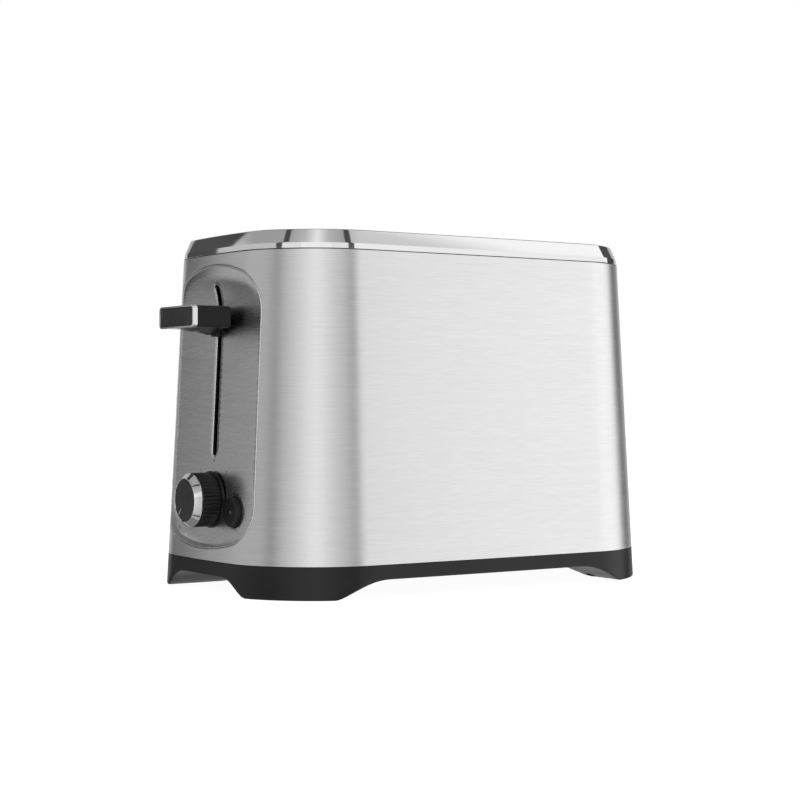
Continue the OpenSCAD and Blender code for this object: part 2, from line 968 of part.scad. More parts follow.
module cord_gland() {
    skin_x = end_x(gland_y, gland_z);
    bush = gland_bore_r + 2.4;
    color(rubber_colour)
        translate([skin_x, gland_y, gland_z])
            rotate([0, 90, 0])
                rotate_extrude()
                    polygon([
                        [gland_bore_r, -9], [bush + 2, -9], [bush + 2, -2.8], [bush, -2.8],
                        [bush, 1.2], [bush + 2.6, 1.2], [bush + 1.8, 3.2], [bush, 3.8],
                        [gland_bore_r, 3.8]
                    ]);
}

// Leads between the terminal block, the busbars and the control board
live_path = [
    [100, 6, 30], [97, 6, 30], [95, 24, 29], [92, 66, 29], [60, 68, 29], [-80, 68, 29],
    [-92, 66, 29], [-99, 56, 34], [-101, 44, 46], [-103, 38, 48], [-106.4, 38, 48]
];
neutral_path = [[100, -6, 30], [97, -6, 30], [98, -30, 34], [98, -40, 36], [95, -40, 36]];
switched_path = [
    [-106.4, -38, 48], [-103, -38, 48], [-101, -44, 46], [-99, -56, 34], [-92, -66, 29],
    [-80, -68, 29], [60, -68, 29], [92, -66, 29], [99, -60, 50], [100, -46, 150],
    [98.5, -42, 164], [95, -42, 164]
];
lead_d = 3;

module live_lead() {
    color(lead_colour)
        swept_lead(bent(live_path, 2), lead_d);
}

module neutral_lead() {
    color(lead_colour)
        swept_lead(bent(neutral_path, 1.5), lead_d);
}

module switched_lead() {
    color(lead_colour)
        swept_lead(bent(switched_path, 2), lead_d);
}

module crumb_tray() {
    floor_z = base_floor_top + 0.3;
    sheet = 0.8;
    rim_top = skin_bottom - 0.8;
    color(plate_colour)
        difference() {
            translate([tray_x0, -tray_half_w, floor_z])
                cube([tray_x1 - tray_x0, 2 * tray_half_w, rim_top - floor_z]);
            translate([tray_x0 + sheet, -tray_half_w + sheet, floor_z + sheet])
                cube([tray_x1 - tray_x0 - 2 * sheet, 2 * (tray_half_w - sheet), 10]);
        }
}

module tray_handle() {
    low = base_floor_top + 0.3;
    high = skin_bottom - 0.3;
    pull_half = 24;
    reach = 146.5;
    color(black_colour)
        difference() {
            union() {
                intersection() {
                    loft([section(foot_bottom), section(skin_bottom)]);
                    translate([tray_x1, -tray_half_w, low])
                        cube([30, 2 * tray_half_w, high - low]);
                }
                translate([0, 0, low])
                    linear_extrude(high - low)
                        polygon([
                            [tray_x1, -pull_half], [reach - 3, -pull_half + 1],
                            [reach, -pull_half + 5], [reach, pull_half - 5],
                            [reach - 3, pull_half - 1], [tray_x1, pull_half]
                        ]);
            }
            // finger hollow under the pull
            translate([0, 0, low - 1])
                translate([reach - 7, -pull_half + 5, 0])
                    cube([4, 2 * pull_half - 10, 3.5]);
        }
}

module base_screws() {
    head_h = 2.4;
    color(plate_colour)
        at_corners(screw_x, screw_y) {
            translate([0, 0, screw_seat - head_h])
                cylinder(r = 3.2, h = head_h);
            translate([0, 0, screw_seat])
                cylinder(r = screw_r, h = plate_bottom + 4 - screw_seat);
        }
}

body_shell();
control_panel();
top_trim();
top_plate();
base_housing();
foot_pads();
front_chassis_plate();
rear_chassis_plate();
reflector_left();
reflector_right();
mica_board_left();
mica_board_center();
mica_board_right();
heating_wire_left();
heating_wire_center();
heating_wire_right();
neutral_busbar();
live_busbar();
bread_guide_left_outer();
bread_guide_left_inner();
bread_guide_right_inner();
bread_guide_right_outer();
bread_rack_left();
bread_rack_right();
carriage_bracket();
carriage_bush();
guide_rod();
carriage_spring();
latch_plate();
magnet_core();
magnet_coil();
lever_arm();
lever_handle();
lever_trim();
lever_inlay();
knob_body();
knob_skirt();
knob_ring();
knob_cap();
timer_shaft();
timer_control();
cancel_button();
stop_switch();
control_board();
board_posts();
board_screws();
power_contacts();
terminal_block();
thermal_fuse();
cord_gland();
live_lead();
neutral_lead();
switched_lead();
crumb_tray();
tray_handle();
base_screws();
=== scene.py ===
"""Looks of the pop up toaster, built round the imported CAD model. Lengths are in millimetres."""

import math

import bmesh
import bpy
import numpy as np
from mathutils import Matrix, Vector
from mathutils.geometry import delaunay_2d_cdt


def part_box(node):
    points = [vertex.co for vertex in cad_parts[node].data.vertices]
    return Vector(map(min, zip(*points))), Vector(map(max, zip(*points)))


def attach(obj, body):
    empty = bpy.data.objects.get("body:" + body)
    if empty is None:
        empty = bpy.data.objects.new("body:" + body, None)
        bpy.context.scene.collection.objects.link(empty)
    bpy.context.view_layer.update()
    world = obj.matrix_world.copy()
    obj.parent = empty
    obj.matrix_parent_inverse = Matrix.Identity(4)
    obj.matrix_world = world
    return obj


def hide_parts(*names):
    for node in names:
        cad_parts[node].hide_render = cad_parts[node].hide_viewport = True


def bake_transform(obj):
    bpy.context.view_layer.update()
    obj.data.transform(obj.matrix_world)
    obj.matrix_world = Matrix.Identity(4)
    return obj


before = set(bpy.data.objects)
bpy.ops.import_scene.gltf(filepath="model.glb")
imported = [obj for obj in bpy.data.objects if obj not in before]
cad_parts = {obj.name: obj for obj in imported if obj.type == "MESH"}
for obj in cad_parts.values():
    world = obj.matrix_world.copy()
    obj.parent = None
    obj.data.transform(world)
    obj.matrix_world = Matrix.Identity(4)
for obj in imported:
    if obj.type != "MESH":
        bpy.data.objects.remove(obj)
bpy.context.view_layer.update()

MM = 0.001


def box(node):
    """Lowest and highest corner of a CAD node, in millimetres."""
    low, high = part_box(node)
    return low / MM, high / MM


# ---------------------------------------------------------------- driving dimensions

SKIN_LOW, SKIN_HIGH = box("body_shell")
END_BOW = 7.5
SIDE_BOW = 1.6
DRAFT = 0.0505
CORNER_R = 47.9
CORNER_DRAFT = 0.0463
HALF_LEN = SKIN_HIGH.x - END_BOW
HALF_WID = SKIN_HIGH.y - SIDE_BOW
SKIN_T = 1.0
TOTAL_HEIGHT = box("top_trim")[1].z
PANEL_DEPTH = 5.7
PANEL_TOP = (46.9, 178.8, 101.0, 24.0)
PANEL_BOTTOM = (48.4, 24.0, 150.0, 21.0)
PANEL_MIDDLE = (PANEL_TOP[1] + PANEL_BOTTOM[1]) / 2
SCOOP_START = 150.0
SCOOP_R = 47.0
BASE_LOW = 0.35
FOOT_EASE = 0.14
BASE_FLOOR = 10.0
BASE_FLOOR_TOP = 12.5
TRAY_WAY = 52.5
# arches of the base: where the foot starts and where the crest starts, from the middle
LONG_ARCH = (97.0, 65.0)
FRONT_ARCH = (44.0, 22.5)
REAR_ARCH = (52.0, 34.0)
WELL_X, WELL_Y, WELL_R = 94.0, 58.0, 3.6
SEAT_X, SEAT_Y, SEAT_R = 109.0, 58.5, 6.1
DECK_TOP = TOTAL_HEIGHT - 0.8
SLOT_LEN = 156.0
SLOT_W = 36.0
SLOT_Y = 28.0
SLOT_R = 6.0


def half_len(z):
    return HALF_LEN - DRAFT * (z - SKIN_LOW.z)


def half_wid(z):
    return HALF_WID - DRAFT * (z - SKIN_LOW.z)


def corner_r(z):
    return CORNER_R - CORNER_DRAFT * (z - SKIN_LOW.z)


def panel_plane(z):
    """X of the recessed panel's flat front."""
    return -(half_len(z) + END_BOW) + PANEL_DEPTH


def link_object(name, data):
    """A new object in the scene that shows this data."""
    made = bpy.data.objects.new(name, data)
    bpy.context.scene.collection.objects.link(made)
    return made


# ---------------------------------------------------------------- camera and studio

VIEW_AZIMUTH = math.radians(-33.915)
VIEW_DISTANCE = 1.051
VIEW_HEIGHT = 0.1056
LENS_MM = 80.59
SENSOR_MM = 36
VIEW_SHIFT = (-0.0063, -0.0019)
FAR_CLIP = 50
FLOOR_HALF_SIZE = 12
FLOOR_GREY = 0.2
FLOOR_GLOW = 0.96


def direction(azimuth):
    """Level unit vector from the object towards a viewer at that azimuth."""
    return Vector((math.sin(azimuth), -math.cos(azimuth), 0))


def make_camera():
    data = bpy.data.cameras.new("camera")
    data.lens = LENS_MM
    data.sensor_width = SENSOR_MM
    data.shift_x, data.shift_y = VIEW_SHIFT
    data.clip_end = FAR_CLIP
    camera = link_object("camera", data)
    back = direction(VIEW_AZIMUTH)
    camera.location = back * VIEW_DISTANCE + Vector((0, 0, VIEW_HEIGHT))
    camera.rotation_mode = "QUATERNION"
    camera.rotation_quaternion = (-back).to_track_quat("-Z", "Y")
    bpy.context.scene.camera = camera


def floor_material():
    """Soft white with some light of its own."""
    material = bpy.data.materials.new("floor_white")
    material.use_nodes = True
    inputs = material.node_tree.nodes["Principled BSDF"].inputs
    inputs["Base Color"].default_value = (FLOOR_GREY, FLOOR_GREY, FLOOR_GREY, 1)
    inputs["Roughness"].default_value = 1
    inputs["Specular IOR Level"].default_value = 0
    inputs["Emission Color"].default_value = (1, 1, 1, 1)
    inputs["Emission Strength"].default_value = FLOOR_GLOW
    return material


def make_floor():
    size = FLOOR_HALF_SIZE
    mesh = bpy.data.meshes.new("floor")
    corners = [(-size, -size, 0), (size, -size, 0), (size, size, 0), (-size, size, 0)]
    mesh.from_pydata(corners, [], [(0, 1, 2, 3)])
    mesh.materials.append(floor_material())
    floor = link_object("floor", mesh)
    floor.visible_glossy = False


# Grey soft panels hung round the object, in order. Angles are in degrees from the long front,
# positive towards the control end: name, start, end, tone at the start, tone at the end, and the
# tone of the strip light that crosses the panel a little above eye level.
STUDIO_PANELS = [
    ("rear_right", -157, -113, 0.75, 0.6, 0.5),
    ("right_flag", -113, -88, 0.06, 0.06, 0.08),
    ("front_right", -88, -50, 1.12, 1.1, 1.0),
    ("front", -50, -19, 1.1, 0.82, 1.0),
    ("near_flag", -19, -9, 0.1, 0.1, 0.1),
    ("corner_right", -9, 16, 0.46, 0.62, 0.9),
    ("corner_glow_right", 16, 34, 0.62, 1.08, 1.0),
    ("corner_glow_left", 34, 52, 1.08, 0.64, 1.0),
    ("corner_left", 52, 74, 0.64, 0.46, 0.86),
    ("left_flag", 74, 82, 0.08, 0.08, 0.08),
    ("left", 82, 152, 0.46, 0.44, 0.6),
    ("end_flag", 152, 173, 0.06, 0.06, 0.08),
    ("rear_left", 173, 203, 0.5, 0.75, 0.45),
]
STRIP_LOW = 12
STRIP_HIGH = 28
CEILING_TONE = 0.22
CEILING_FROM = 60
END_SIDE_FROM = 100
# above the strip light the panels darken, more to the right of the near flag's edge
NEAR_EDGE = -9
FADE_RIGHT = 0.3
FADE_LEFT = 0.14
FADE_FROM = -47
FIRST_TURN = STUDIO_PANELS[0][1]
DOME_RADIUS = 4.0


def ramp(value, width):
    """0 below zero, then rising to 1 over width."""
    return min(max(value / width, 0), 1)


def studio_tone(turn, rise):
    """Brightness of the studio in one direction, both angles in degrees."""
    for _, start, end, first, last, strip in STUDIO_PANELS:
        if start <= turn < end:
            tone = first + (last - first) * (turn - start) / (end - start)
            break
    tone += (strip - tone) * (ramp(rise - STRIP_LOW, 3) * ramp(STRIP_HIGH - rise, 3))
    fade = FADE_RIGHT if turn < NEAR_EDGE else FADE_LEFT
    fade *= ramp(turn - FADE_FROM, 6)
    tone *= 1 - fade * ramp(rise - STRIP_HIGH, 5)
    if turn > END_SIDE_FROM:
        tone += (CEILING_TONE - tone) * ramp(-18 - rise, 12)
    return tone + (CEILING_TONE - tone) * ramp(rise - CEILING_FROM, 6)


def make_dome():
    """Soft studio round the object that only shows in its reflections."""
    turns = np.arange(FIRST_TURN, FIRST_TURN + 360, 1.0)
    rises = np.concatenate([np.arange(-90, 10, 10.0), np.arange(10, 90.1, 2.0)])
    points, tones = [], []
    for rise in rises:
        for turn in turns:
            flat, up = math.cos(math.radians(rise)), math.sin(math.radians(rise))
            out = direction(-math.radians(turn)) * flat
            points.append((out + Vector((0, 0, up))) * DOME_RADIUS)
            tones.append(studio_tone(turn, rise))
    count = len(turns)
    faces = []
    for k in range(len(rises) - 1):
        for i in range(count):
            j = (i + 1) % count
            faces.append((k * count + i, k * count + j, (k + 1) * count + j, (k + 1) * count + i))
    mesh = bpy.data.meshes.new("studio_dome")
    mesh.from_pydata(points, [], faces)
    layer = mesh.color_attributes.new("tone", "FLOAT_COLOR", "POINT")
    for item, tone in zip(layer.data, tones):
        item.color = (tone, tone, tone, 1)
    material = bpy.data.materials.new("studio_light")
    material.use_nodes = True
    tree = material.node_tree
    tree.nodes.clear()
    attribute = tree.nodes.new("ShaderNodeAttribute")
    attribute.attribute_name = "tone"
    glow = tree.nodes.new("ShaderNodeEmission")
    output = tree.nodes.new("ShaderNodeOutputMaterial")
    tree.links.new(attribute.outputs["Color"], glow.inputs["Color"])
    tree.links.new(glow.outputs["Emission"], output.inputs["Surface"])
    mesh.materials.append(material)
    dome = link_object("studio_dome", mesh)
    dome.visible_camera = False
    dome.visible_diffuse = False
    dome.visible_shadow = False


def make_light(name, turn_deg, rise_deg, distance, size, power):
    data = bpy.data.lights.new(name, "AREA")
    data.shape = "SQUARE"
    data.size = size
    data.energy = power
    light = link_object(name, data)
    rise = math.radians(rise_deg)
    out = direction(-math.radians(turn_deg)) * math.cos(rise) + Vector((0, 0, math.sin(rise)))
    light.location = out * distance
    light.rotation_mode = "QUATERNION"
    light.rotation_quaternion = out.to_track_quat("Z", "Y")
    light.visible_glossy = False


def make_studio():
    scene = bpy.context.scene
    scene.view_settings.view_transform = "Standard"
    world = bpy.data.worlds.new("studio")
    scene.world = world
    world.use_nodes = True
    background = world.node_tree.nodes["Background"]
    background.inputs["Color"].default_value = (1, 1, 1, 1)
    background.inputs["Strength"].default_value = 1.0
    make_floor()
    make_dome()
    make_light("key", turn_deg=-40, rise_deg=50, distance=2.6, size=1.6, power=25)


# ---------------------------------------------------------------- materials


class Nodes:
    """A material's node tree, with short calls to add and link its nodes."""

    def __init__(self, name):
        self.material = bpy.data.materials.new(name)
        self.material.use_nodes = True
        self.tree = self.material.node_tree
        self.shader = self.tree.nodes["Principled BSDF"]
        self.place = self.tree.nodes.new("ShaderNodeTexCoord").outputs["Object"]

    def set(self, **values):
        names = {
            "metal": "Metallic", "rough": "Roughness", "aniso": "Anisotropic",
            "turn": "Anisotropic Rotation", "specular": "Specular IOR Level", "ior": "IOR",
        }
        for key, value in values.items():
            self.shader.inputs[names[key]].default_value = value

    def link(self, output, socket_name):
        self.tree.links.new(output, self.shader.inputs[socket_name])

    def stretched(self, scale):
        """Object coordinates in metres times a scale for each axis."""
        node = self.tree.nodes.new("ShaderNodeMapping")
        node.inputs["Scale"].default_value = scale
        self.tree.links.new(self.place, node.inputs["Vector"])
        return node.outputs["Vector"]

    def noise(self, scale, detail=3.0, roughness=0.55):
        node = self.tree.nodes.new("ShaderNodeTexNoise")
        node.inputs["Scale"].default_value = 1.0
        node.inputs["Detail"].default_value = detail
        node.inputs["Roughness"].default_value = roughness
        self.tree.links.new(self.stretched(scale), node.inputs["Vector"])
        return node.outputs["Fac"]

    def ranged(self, value, low, high, start=0.3, end=0.7):
        node = self.tree.nodes.new("ShaderNodeMapRange")
        node.inputs["From Min"].default_value = start
        node.inputs["From Max"].default_value = end
        node.inputs["To Min"].default_value = low
        node.inputs["To Max"].default_value = high
        self.tree.links.new(value, node.inputs["Value"])
        return node.outputs["Result"]

    def math(self, operation, a, b):
        node = self.tree.nodes.new("ShaderNodeMath")
        node.operation = operation
        for socket, value in zip(node.inputs, (a, b)):
            if isinstance(value, (int, float)):
                socket.default_value = value
            else:
                self.tree.links.new(value, socket)
        return node.outputs["Value"]

    def halves(self, a, b):
        """The mean of two values."""
        return self.math("ADD", self.math("MULTIPLY", a, 0.5), self.math("MULTIPLY", b, 0.5))

    def blend(self, factor, colour_a, colour_b):
        node = self.tree.nodes.new("ShaderNodeMix")
        node.data_type = "RGBA"
        node.inputs["A"].default_value = (*colour_a, 1)
        node.inputs["B"].default_value = (*colour_b, 1)
        self.tree.links.new(factor, node.inputs["Factor"])
        return node.outputs["Result"]

    def bump(self, height, strength, distance):
        node = self.tree.nodes.new("ShaderNodeBump")
        node.inputs["Strength"].default_value = strength
        node.inputs["Distance"].default_value = distance
        self.tree.links.new(height, node.inputs["Height"])
        self.link(node.outputs["Normal"], "Normal")

    def tangent_round_z(self):
        node = self.tree.nodes.new("ShaderNodeTangent")
        node.direction_type = "RADIAL"
        node.axis = "Z"
        self.link(node.outputs["Tangent"], "Tangent")


def shade(grey, tint=0.0):
    """Neutral grey, a little bluer with tint."""
    return (grey * (1 - tint), grey, grey * (1 + tint))


def brushed_metal(name, grey, rough, aniso, grain, bump_depth, contrast=0.05):
    """Metal brushed along every level direction: the grain is short across and long along."""
    n = Nodes(name)
    n.set(metal=1.0, aniso=aniso, turn=0.25)
    n.tangent_round_z()
    fine = n.noise(grain, 4.0)
    broad = n.noise((grain[0] * 0.25, grain[1] * 0.25, grain[2] * 0.12), 3.0)
    smudge = n.noise((9, 9, 9), 2.0)
    streak = n.math("ADD", n.math("MULTIPLY", fine, 0.82), n.math("MULTIPLY", broad, 0.18))
    low, high = shade(grey * (1 - contrast)), shade(min(1.0, grey * (1 + contrast)))
    n.link(n.blend(n.ranged(streak, 0, 1, 0.36, 0.64), low, high), "Base Color")
    rough_grain = n.ranged(streak, rough * 0.88, rough * 1.15)
    n.link(n.math("ADD", rough_grain, n.ranged(smudge, -0.02, 0.03)), "Roughness")
    n.bump(fine, 0.35, bump_depth)
    return n.material


def polished_metal(name, grey, rough):
    """Polished plate with faint wiping marks and slightly duller patches."""
    n = Nodes(name)
    n.set(metal=1.0)
    wipe = n.noise((120, 120, 1400), 4.0)
    patch = n.noise((22, 22, 22), 3.0)
    n.link(n.blend(n.ranged(patch, 0, 1), shade(grey * 0.97), shade(grey, 0.004)), "Base Color")
    marks = n.ranged(wipe, rough * 0.7, rough * 1.5)
    n.link(n.math("ADD", marks, n.ranged(patch, 0.0, rough * 0.5)), "Roughness")
    n.bump(wipe, 0.08, 0.00001)
    return n.material


def moulded_plastic(name, grey, rough, grain=2600.0, depth=0.00004, worn=0.35):
    """Fine spark-eroded moulding texture, with slightly lighter patches."""
    n = Nodes(name)
    n.set(ior=1.5, specular=0.36)
    texture = n.noise((grain, grain, grain), 2.0)
    patch = n.noise((35, 35, 35), 3.0)
    low, high = shade(grey * (1 - worn * 0.5)), shade(grey * (1 + worn))
    n.link(n.blend(n.ranged(patch, 0, 1), low, high), "Base Color")
    n.link(n.ranged(n.halves(texture, patch), rough * 0.85, rough * 1.15), "Roughness")
    n.bump(texture, 0.4, depth)
    return n.material


def sheet_metal(name, grey, rough):
    """Plain rolled sheet with a faint rolling grain and cloudy patches."""
    n = Nodes(name)
    n.set(metal=1.0)
    rolling = n.noise((60, 900, 900), 3.0)
    cloud = n.noise((45, 45, 45), 4.0)
    n.link(n.blend(n.ranged(cloud, 0, 1), shade(grey * 0.9), shade(grey)), "Base Color")
    n.link(n.ranged(n.halves(rolling, cloud), rough * 0.8, rough * 1.2), "Roughness")
    n.bump(rolling, 0.15, 0.00002)
    return n.material


def mineral_board(name, colour_a, colour_b):
    """Pressed mica: flakes of two tones with a soft pearly gloss."""
    n = Nodes(name)
    n.set(rough=0.45)
    flakes = n.noise((160, 160, 160), 6.0, 0.7)
    n.link(n.blend(n.ranged(flakes, 0, 1, 0.4, 0.6), colour_a, colour_b), "Base Color")
    n.link(n.ranged(flakes, 0.35, 0.6), "Roughness")
    n.bump(flakes, 0.3, 0.0001)
    return n.material


def coloured_plastic(name, colour, rough, variation=0.12):
    n = Nodes(name)
    texture = n.noise((900, 900, 900), 3.0)
    low = tuple(c * (1 - variation) for c in colour)
    high = tuple(min(1.0, c * (1 + variation)) for c in colour)
    n.link(n.blend(n.ranged(texture, 0, 1), low, high), "Base Color")
    n.link(n.ranged(texture, rough * 0.85, rough * 1.15), "Roughness")
    n.bump(texture, 0.2, 0.00003)
    return n.material


def warm_metal(name, colour, rough):
    """Copper or heating alloy: tarnish patches over a drawn grain."""
    n = Nodes(name)
    n.set(metal=1.0)
    tarnish = n.noise((70, 70, 70), 5.0, 0.65)
    grain = n.noise((300, 1500, 1500), 2.0)
    dark = tuple(c * 0.6 for c in colour)
    n.link(n.blend(n.ranged(tarnish, 0, 1), dark, colour), "Base Color")
    n.link(n.ranged(n.halves(tarnish, grain), rough * 0.7, rough * 1.3), "Roughness")
    n.bump(grain, 0.2, 0.00002)
    return n.material


def make_materials():
    return {
        "brushed_skin": brushed_metal("brushed_skin", 0.86, 0.37, 0.55, (75, 75, 2900), 0.000012),
        "panel_steel": brushed_metal("panel_steel", 0.78, 0.26, 0.6, (75, 75, 2600), 0.000015, 0.10),
        "polished_trim": polished_metal("polished_trim", 0.84, 0.05),
        "deck_steel": brushed_metal("deck_steel", 0.7, 0.33, 0.5, (30, 1800, 300), 0.00001),
        "sheet_steel": sheet_metal("sheet_steel", 0.62, 0.36),
        "black_plastic": moulded_plastic("black_plastic", 0.0065, 0.36),
        "inlay": moulded_plastic("inlay", 0.014, 0.24, 1300.0, 0.00035),
        "knob_face": moulded_plastic("knob_face", 0.014, 0.34, 1700.0, 0.00006),
        "rubber": moulded_plastic("rubber", 0.012, 0.7, 1500.0, 0.00008),
        "mica": mineral_board("mica", (0.42, 0.33, 0.2), (0.62, 0.54, 0.4)),
        "ribbon": warm_metal("ribbon", (0.42, 0.38, 0.35), 0.4),
        "wire_chrome": polished_metal("wire_chrome", 0.78, 0.14),
        "circuit_board": coloured_plastic("circuit_board", (0.03, 0.16, 0.07), 0.4),
        "copper": warm_metal("copper", (0.72, 0.36, 0.17), 0.35),
        "lead_sleeve": coloured_plastic("lead_sleeve", (0.62, 0.6, 0.53), 0.6),
        "terminal_plastic": coloured_plastic("terminal_plastic", (0.7, 0.68, 0.6), 0.45),
        "print_ink": coloured_plastic("print_ink", (0.05, 0.05, 0.052), 0.6),
        "pointer_ink": coloured_plastic("pointer_ink", (0.2, 0.2, 0.205), 0.6),
        # painted shade: a satin grey that stands in for the panel steel on the recess wall
        "recess_wall_shade_grey": coloured_plastic("recess_wall_shade_grey", (0.25, 0.25, 0.252), 0.5),
    }


# ---------------------------------------------------------------- mesh tools


def unit(v):
    return v / np.maximum(np.linalg.norm(v, axis=-1, keepdims=True), 1e-12)


class Builder:
    """Collects points in millimetres and faces, and makes one welded mesh of them."""

    def __init__(self):
        self.points = []
        self.faces = []

    def add(self, points):
        """Adds points and returns their numbers."""
        first = len(self.points)
        self.points.extend([float(c) for c in p] for p in points)
        return np.arange(first, first + len(points))

    def strip(self, a, b):
        """Quads round between two closed rows of the same length."""
        count = len(a)
        for k in range(count):
            m = (k + 1) % count
            self.faces.append((a[k], a[m], b[m], b[k]))

    def rows(self, rows):
        """Quads between each closed row of points and the next. Returns the rows' numbers."""
        numbers = [self.add(r) for r in rows]
        for a, b in zip(numbers, numbers[1:]):
            self.strip(a, b)
        return numbers

    def cap(self, ring):
        self.faces.append(tuple(ring))

    def solid(self, rows):
        """Adds rows with a cap at each end, and returns the builder."""
        numbers = self.rows(rows)
        self.cap(numbers[0])
        self.cap(numbers[-1])
        return self

    def patch(self, points, triangles):
        """Adds points and the triangles between them."""
        numbers = self.add(points)
        self.faces.extend(tuple(numbers[i] for i in t) for t in triangles)

    def merge(self, other):
        first = len(self.points)
        self.points.extend(other.points)
        self.faces.extend(tuple(i + first for i in f) for f in other.faces)

    def mesh(self, name, weld=0.0005):
        mesh = bpy.data.meshes.new(name)
        points = [(p[0] * MM, p[1] * MM, p[2] * MM) for p in self.points]
        mesh.from_pydata(points, [], [tuple(int(i) for i in f) for f in self.faces])
        work = bmesh.new()
        work.from_mesh(mesh)
        bmesh.ops.remove_doubles(work, verts=work.verts, dist=weld * MM)
        bmesh.ops.dissolve_degenerate(work, edges=work.edges, dist=weld * MM * 0.1)
        bmesh.ops.recalc_face_normals(work, faces=work.faces)
        work.to_mesh(mesh)
        work.free()
        return mesh


def finish_piece(name, mesh, material, body, replaced=(), sharp_deg=32):
    """Shades a mesh, links it as a piece, ties it to its body and hides the CAD nodes it replaces."""
    mesh.shade_smooth()
    mesh.set_sharp_from_angle(angle=math.radians(sharp_deg))
    mesh.materials.append(material)
    piece = link_object(name, mesh)
    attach(piece, body)
    if replaced:
        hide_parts(*replaced)
    return piece


def inside(points, loop):
    """Which 2D points lie inside a closed loop."""
    x, y = points[:, 0][:, None], points[:, 1][:, None]
    ax, ay = loop[:, 0][None], loop[:, 1][None]
    bx, by = np.roll(loop[:, 0], -1)[None], np.roll(loop[:, 1], -1)[None]
    spans = (ay > y) != (by > y)
    rise = np.where(by == ay, 1e-12, by - ay)
    crosses = x < (bx - ax) * (y - ay) / rise + ax
    return (spans & crosses).sum(1) % 2 == 1


def far_from(points, loop, gap):
    """Which 2D points are further than gap from each point and edge of a closed loop."""
    a, b = loop[None], np.roll(loop, -1, axis=0)[None]
    p = points[:, None]
    edge = b - a
    t = ((p - a) * edge).sum(-1) / np.maximum((edge * edge).sum(-1), 1e-12)
    near = a + edge * np.clip(t, 0, 1)[..., None]
    return np.linalg.norm(p - near, axis=-1).min(1) > gap


def triangulated(outer, holes, spacing):
    """Points and triangles that fill a 2D loop with holes, with a lattice of inner points."""
    low, high = outer.min(0), outer.max(0)
    xs = np.arange(low[0], high[0], spacing)
    ys = np.arange(low[1], high[1], spacing * 0.866)
    lattice = np.array([(x + (j % 2) * spacing / 2, y) for j, y in enumerate(ys) for x in xs])
    keep = inside(lattice, outer)
    lattice = lattice[keep]
    lattice = lattice[far_from(lattice, outer, spacing * 0.45)]
    for hole in holes:
        lattice = lattice[~inside(lattice, hole)]
        lattice = lattice[far_from(lattice, hole, spacing * 0.45)]
    points, edges, first = [], [], 0
    for loop in [outer, *holes]:
        count = len(loop)
        points.extend(Vector(p) for p in loop)
        edges.extend((first + k, first + (k + 1) % count) for k in range(count))
        first += count
    points.extend(Vector(p) for p in lattice)
    found = delaunay_2d_cdt(points, edges, [], 0, 1e-6)
    sources = found[3]
    faces = [[sources[i][0] for i in face] for face in found[2] if len(face) == 3]
    barrier = {(min(edge), max(edge)) for edge in edges}
    return np.concatenate([outer, *holes, lattice]), np.array(flooded(faces, barrier, first))


def flooded(faces, barrier, first_inner):
    """Faces between the loops: all that a walk from an inner point reaches without crossing one."""
    beside = {}
    for k, face in enumerate(faces):
        for a, b in zip(face, face[1:] + face[:1]):
            beside.setdefault((min(a, b), max(a, b)), []).append(k)
    start = next(k for k, face in enumerate(faces) if max(face) >= first_inner)
    reached, waiting = {start}, [start]
    while waiting:
        face = faces[waiting.pop()]
        for a, b in zip(face, face[1:] + face[:1]):
            edge = (min(a, b), max(a, b))
            if edge in barrier:
                continue
            fresh = [k for k in beside[edge] if k not in reached]
            reached.update(fresh)
            waiting.extend(fresh)
    return [faces[k] for k in sorted(reached)]


def circle_loop(centre, radius, steps=48):
    turn = np.arange(steps) / steps * 2 * math.pi
    return np.stack([centre[0] + radius * np.cos(turn), centre[1] + radius * np.sin(turn)], 1)


def rounded_loop(width, height, radius, steps=6, centre=(0.0, 0.0), side_steps=1):
    """Rounded rectangle round centre, counter-clockwise."""
    points = []
    for quarter in range(4):
        sx = (1, -1, -1, 1)[quarter]
        sy = (1, 1, -1, -1)[quarter]
        corner = np.array([sx * (width / 2 - radius), sy * (height / 2 - radius)])
        for k in range(steps + 1):
            turn = math.radians(90 * (quarter + k / steps))
            points.append(corner + radius * np.array([math.cos(turn), math.sin(turn)]))
        nx = (-1, -1, 1, 1)[quarter]
        ny = (1, -1, -1, 1)[quarter]
        run = np.array([nx * (width - 2 * radius), 0]) if quarter % 2 == 0 else np.array(
            [0, ny * (height - 2 * radius)])
        last = points[-1]
        for k in range(1, side_steps):
            points.append(last + run * k / side_steps)
    return np.array(points) + np.array(centre)


def lathe(profile, y, z, steps=96):
    """Closed solid of revolution about the X line through (y, z), from (x, radius) pairs."""
    build = Builder()
    turn = np.arange(steps) / steps * 2 * math.pi
    rows = [
        np.stack([np.full(steps, x), y + r * np.cos(turn), z + r * np.sin(turn)], 1)
        for x, r in profile
    ]
    build.solid(rows)
    return build


# ---------------------------------------------------------------- housing outline

ARC_STEPS = 30
END_STEPS = 20
SIDE_STEPS = 40


def columns_round():
    """Unit columns round the housing: (cx, cy) scale a corner's centre, (nx, ny) its radius."""
    columns = []
    for quarter in range(4):
        sx = (1, -1, -1, 1)[quarter]
        sy = (1, 1, -1, -1)[quarter]
        for k in range(ARC_STEPS + 1):
            turn = math.radians(90 * (quarter + k / ARC_STEPS))
            columns.append((sx, sy, math.cos(turn), math.sin(turn)))
        steps = SIDE_STEPS if quarter % 2 == 0 else END_STEPS
        for k in range(1, steps):
            t = 1 - 2 * k / steps
            if quarter == 0:
                columns.append((t, 1, 0, 1))
            elif quarter == 1:
                columns.append((-1, t, -1, 0))
            elif quarter == 2:
                columns.append((-t, -1, 0, -1))
            else:
                columns.append((1, -t, 1, 0))
    return np.array(columns, float)


COLUMNS = columns_round()


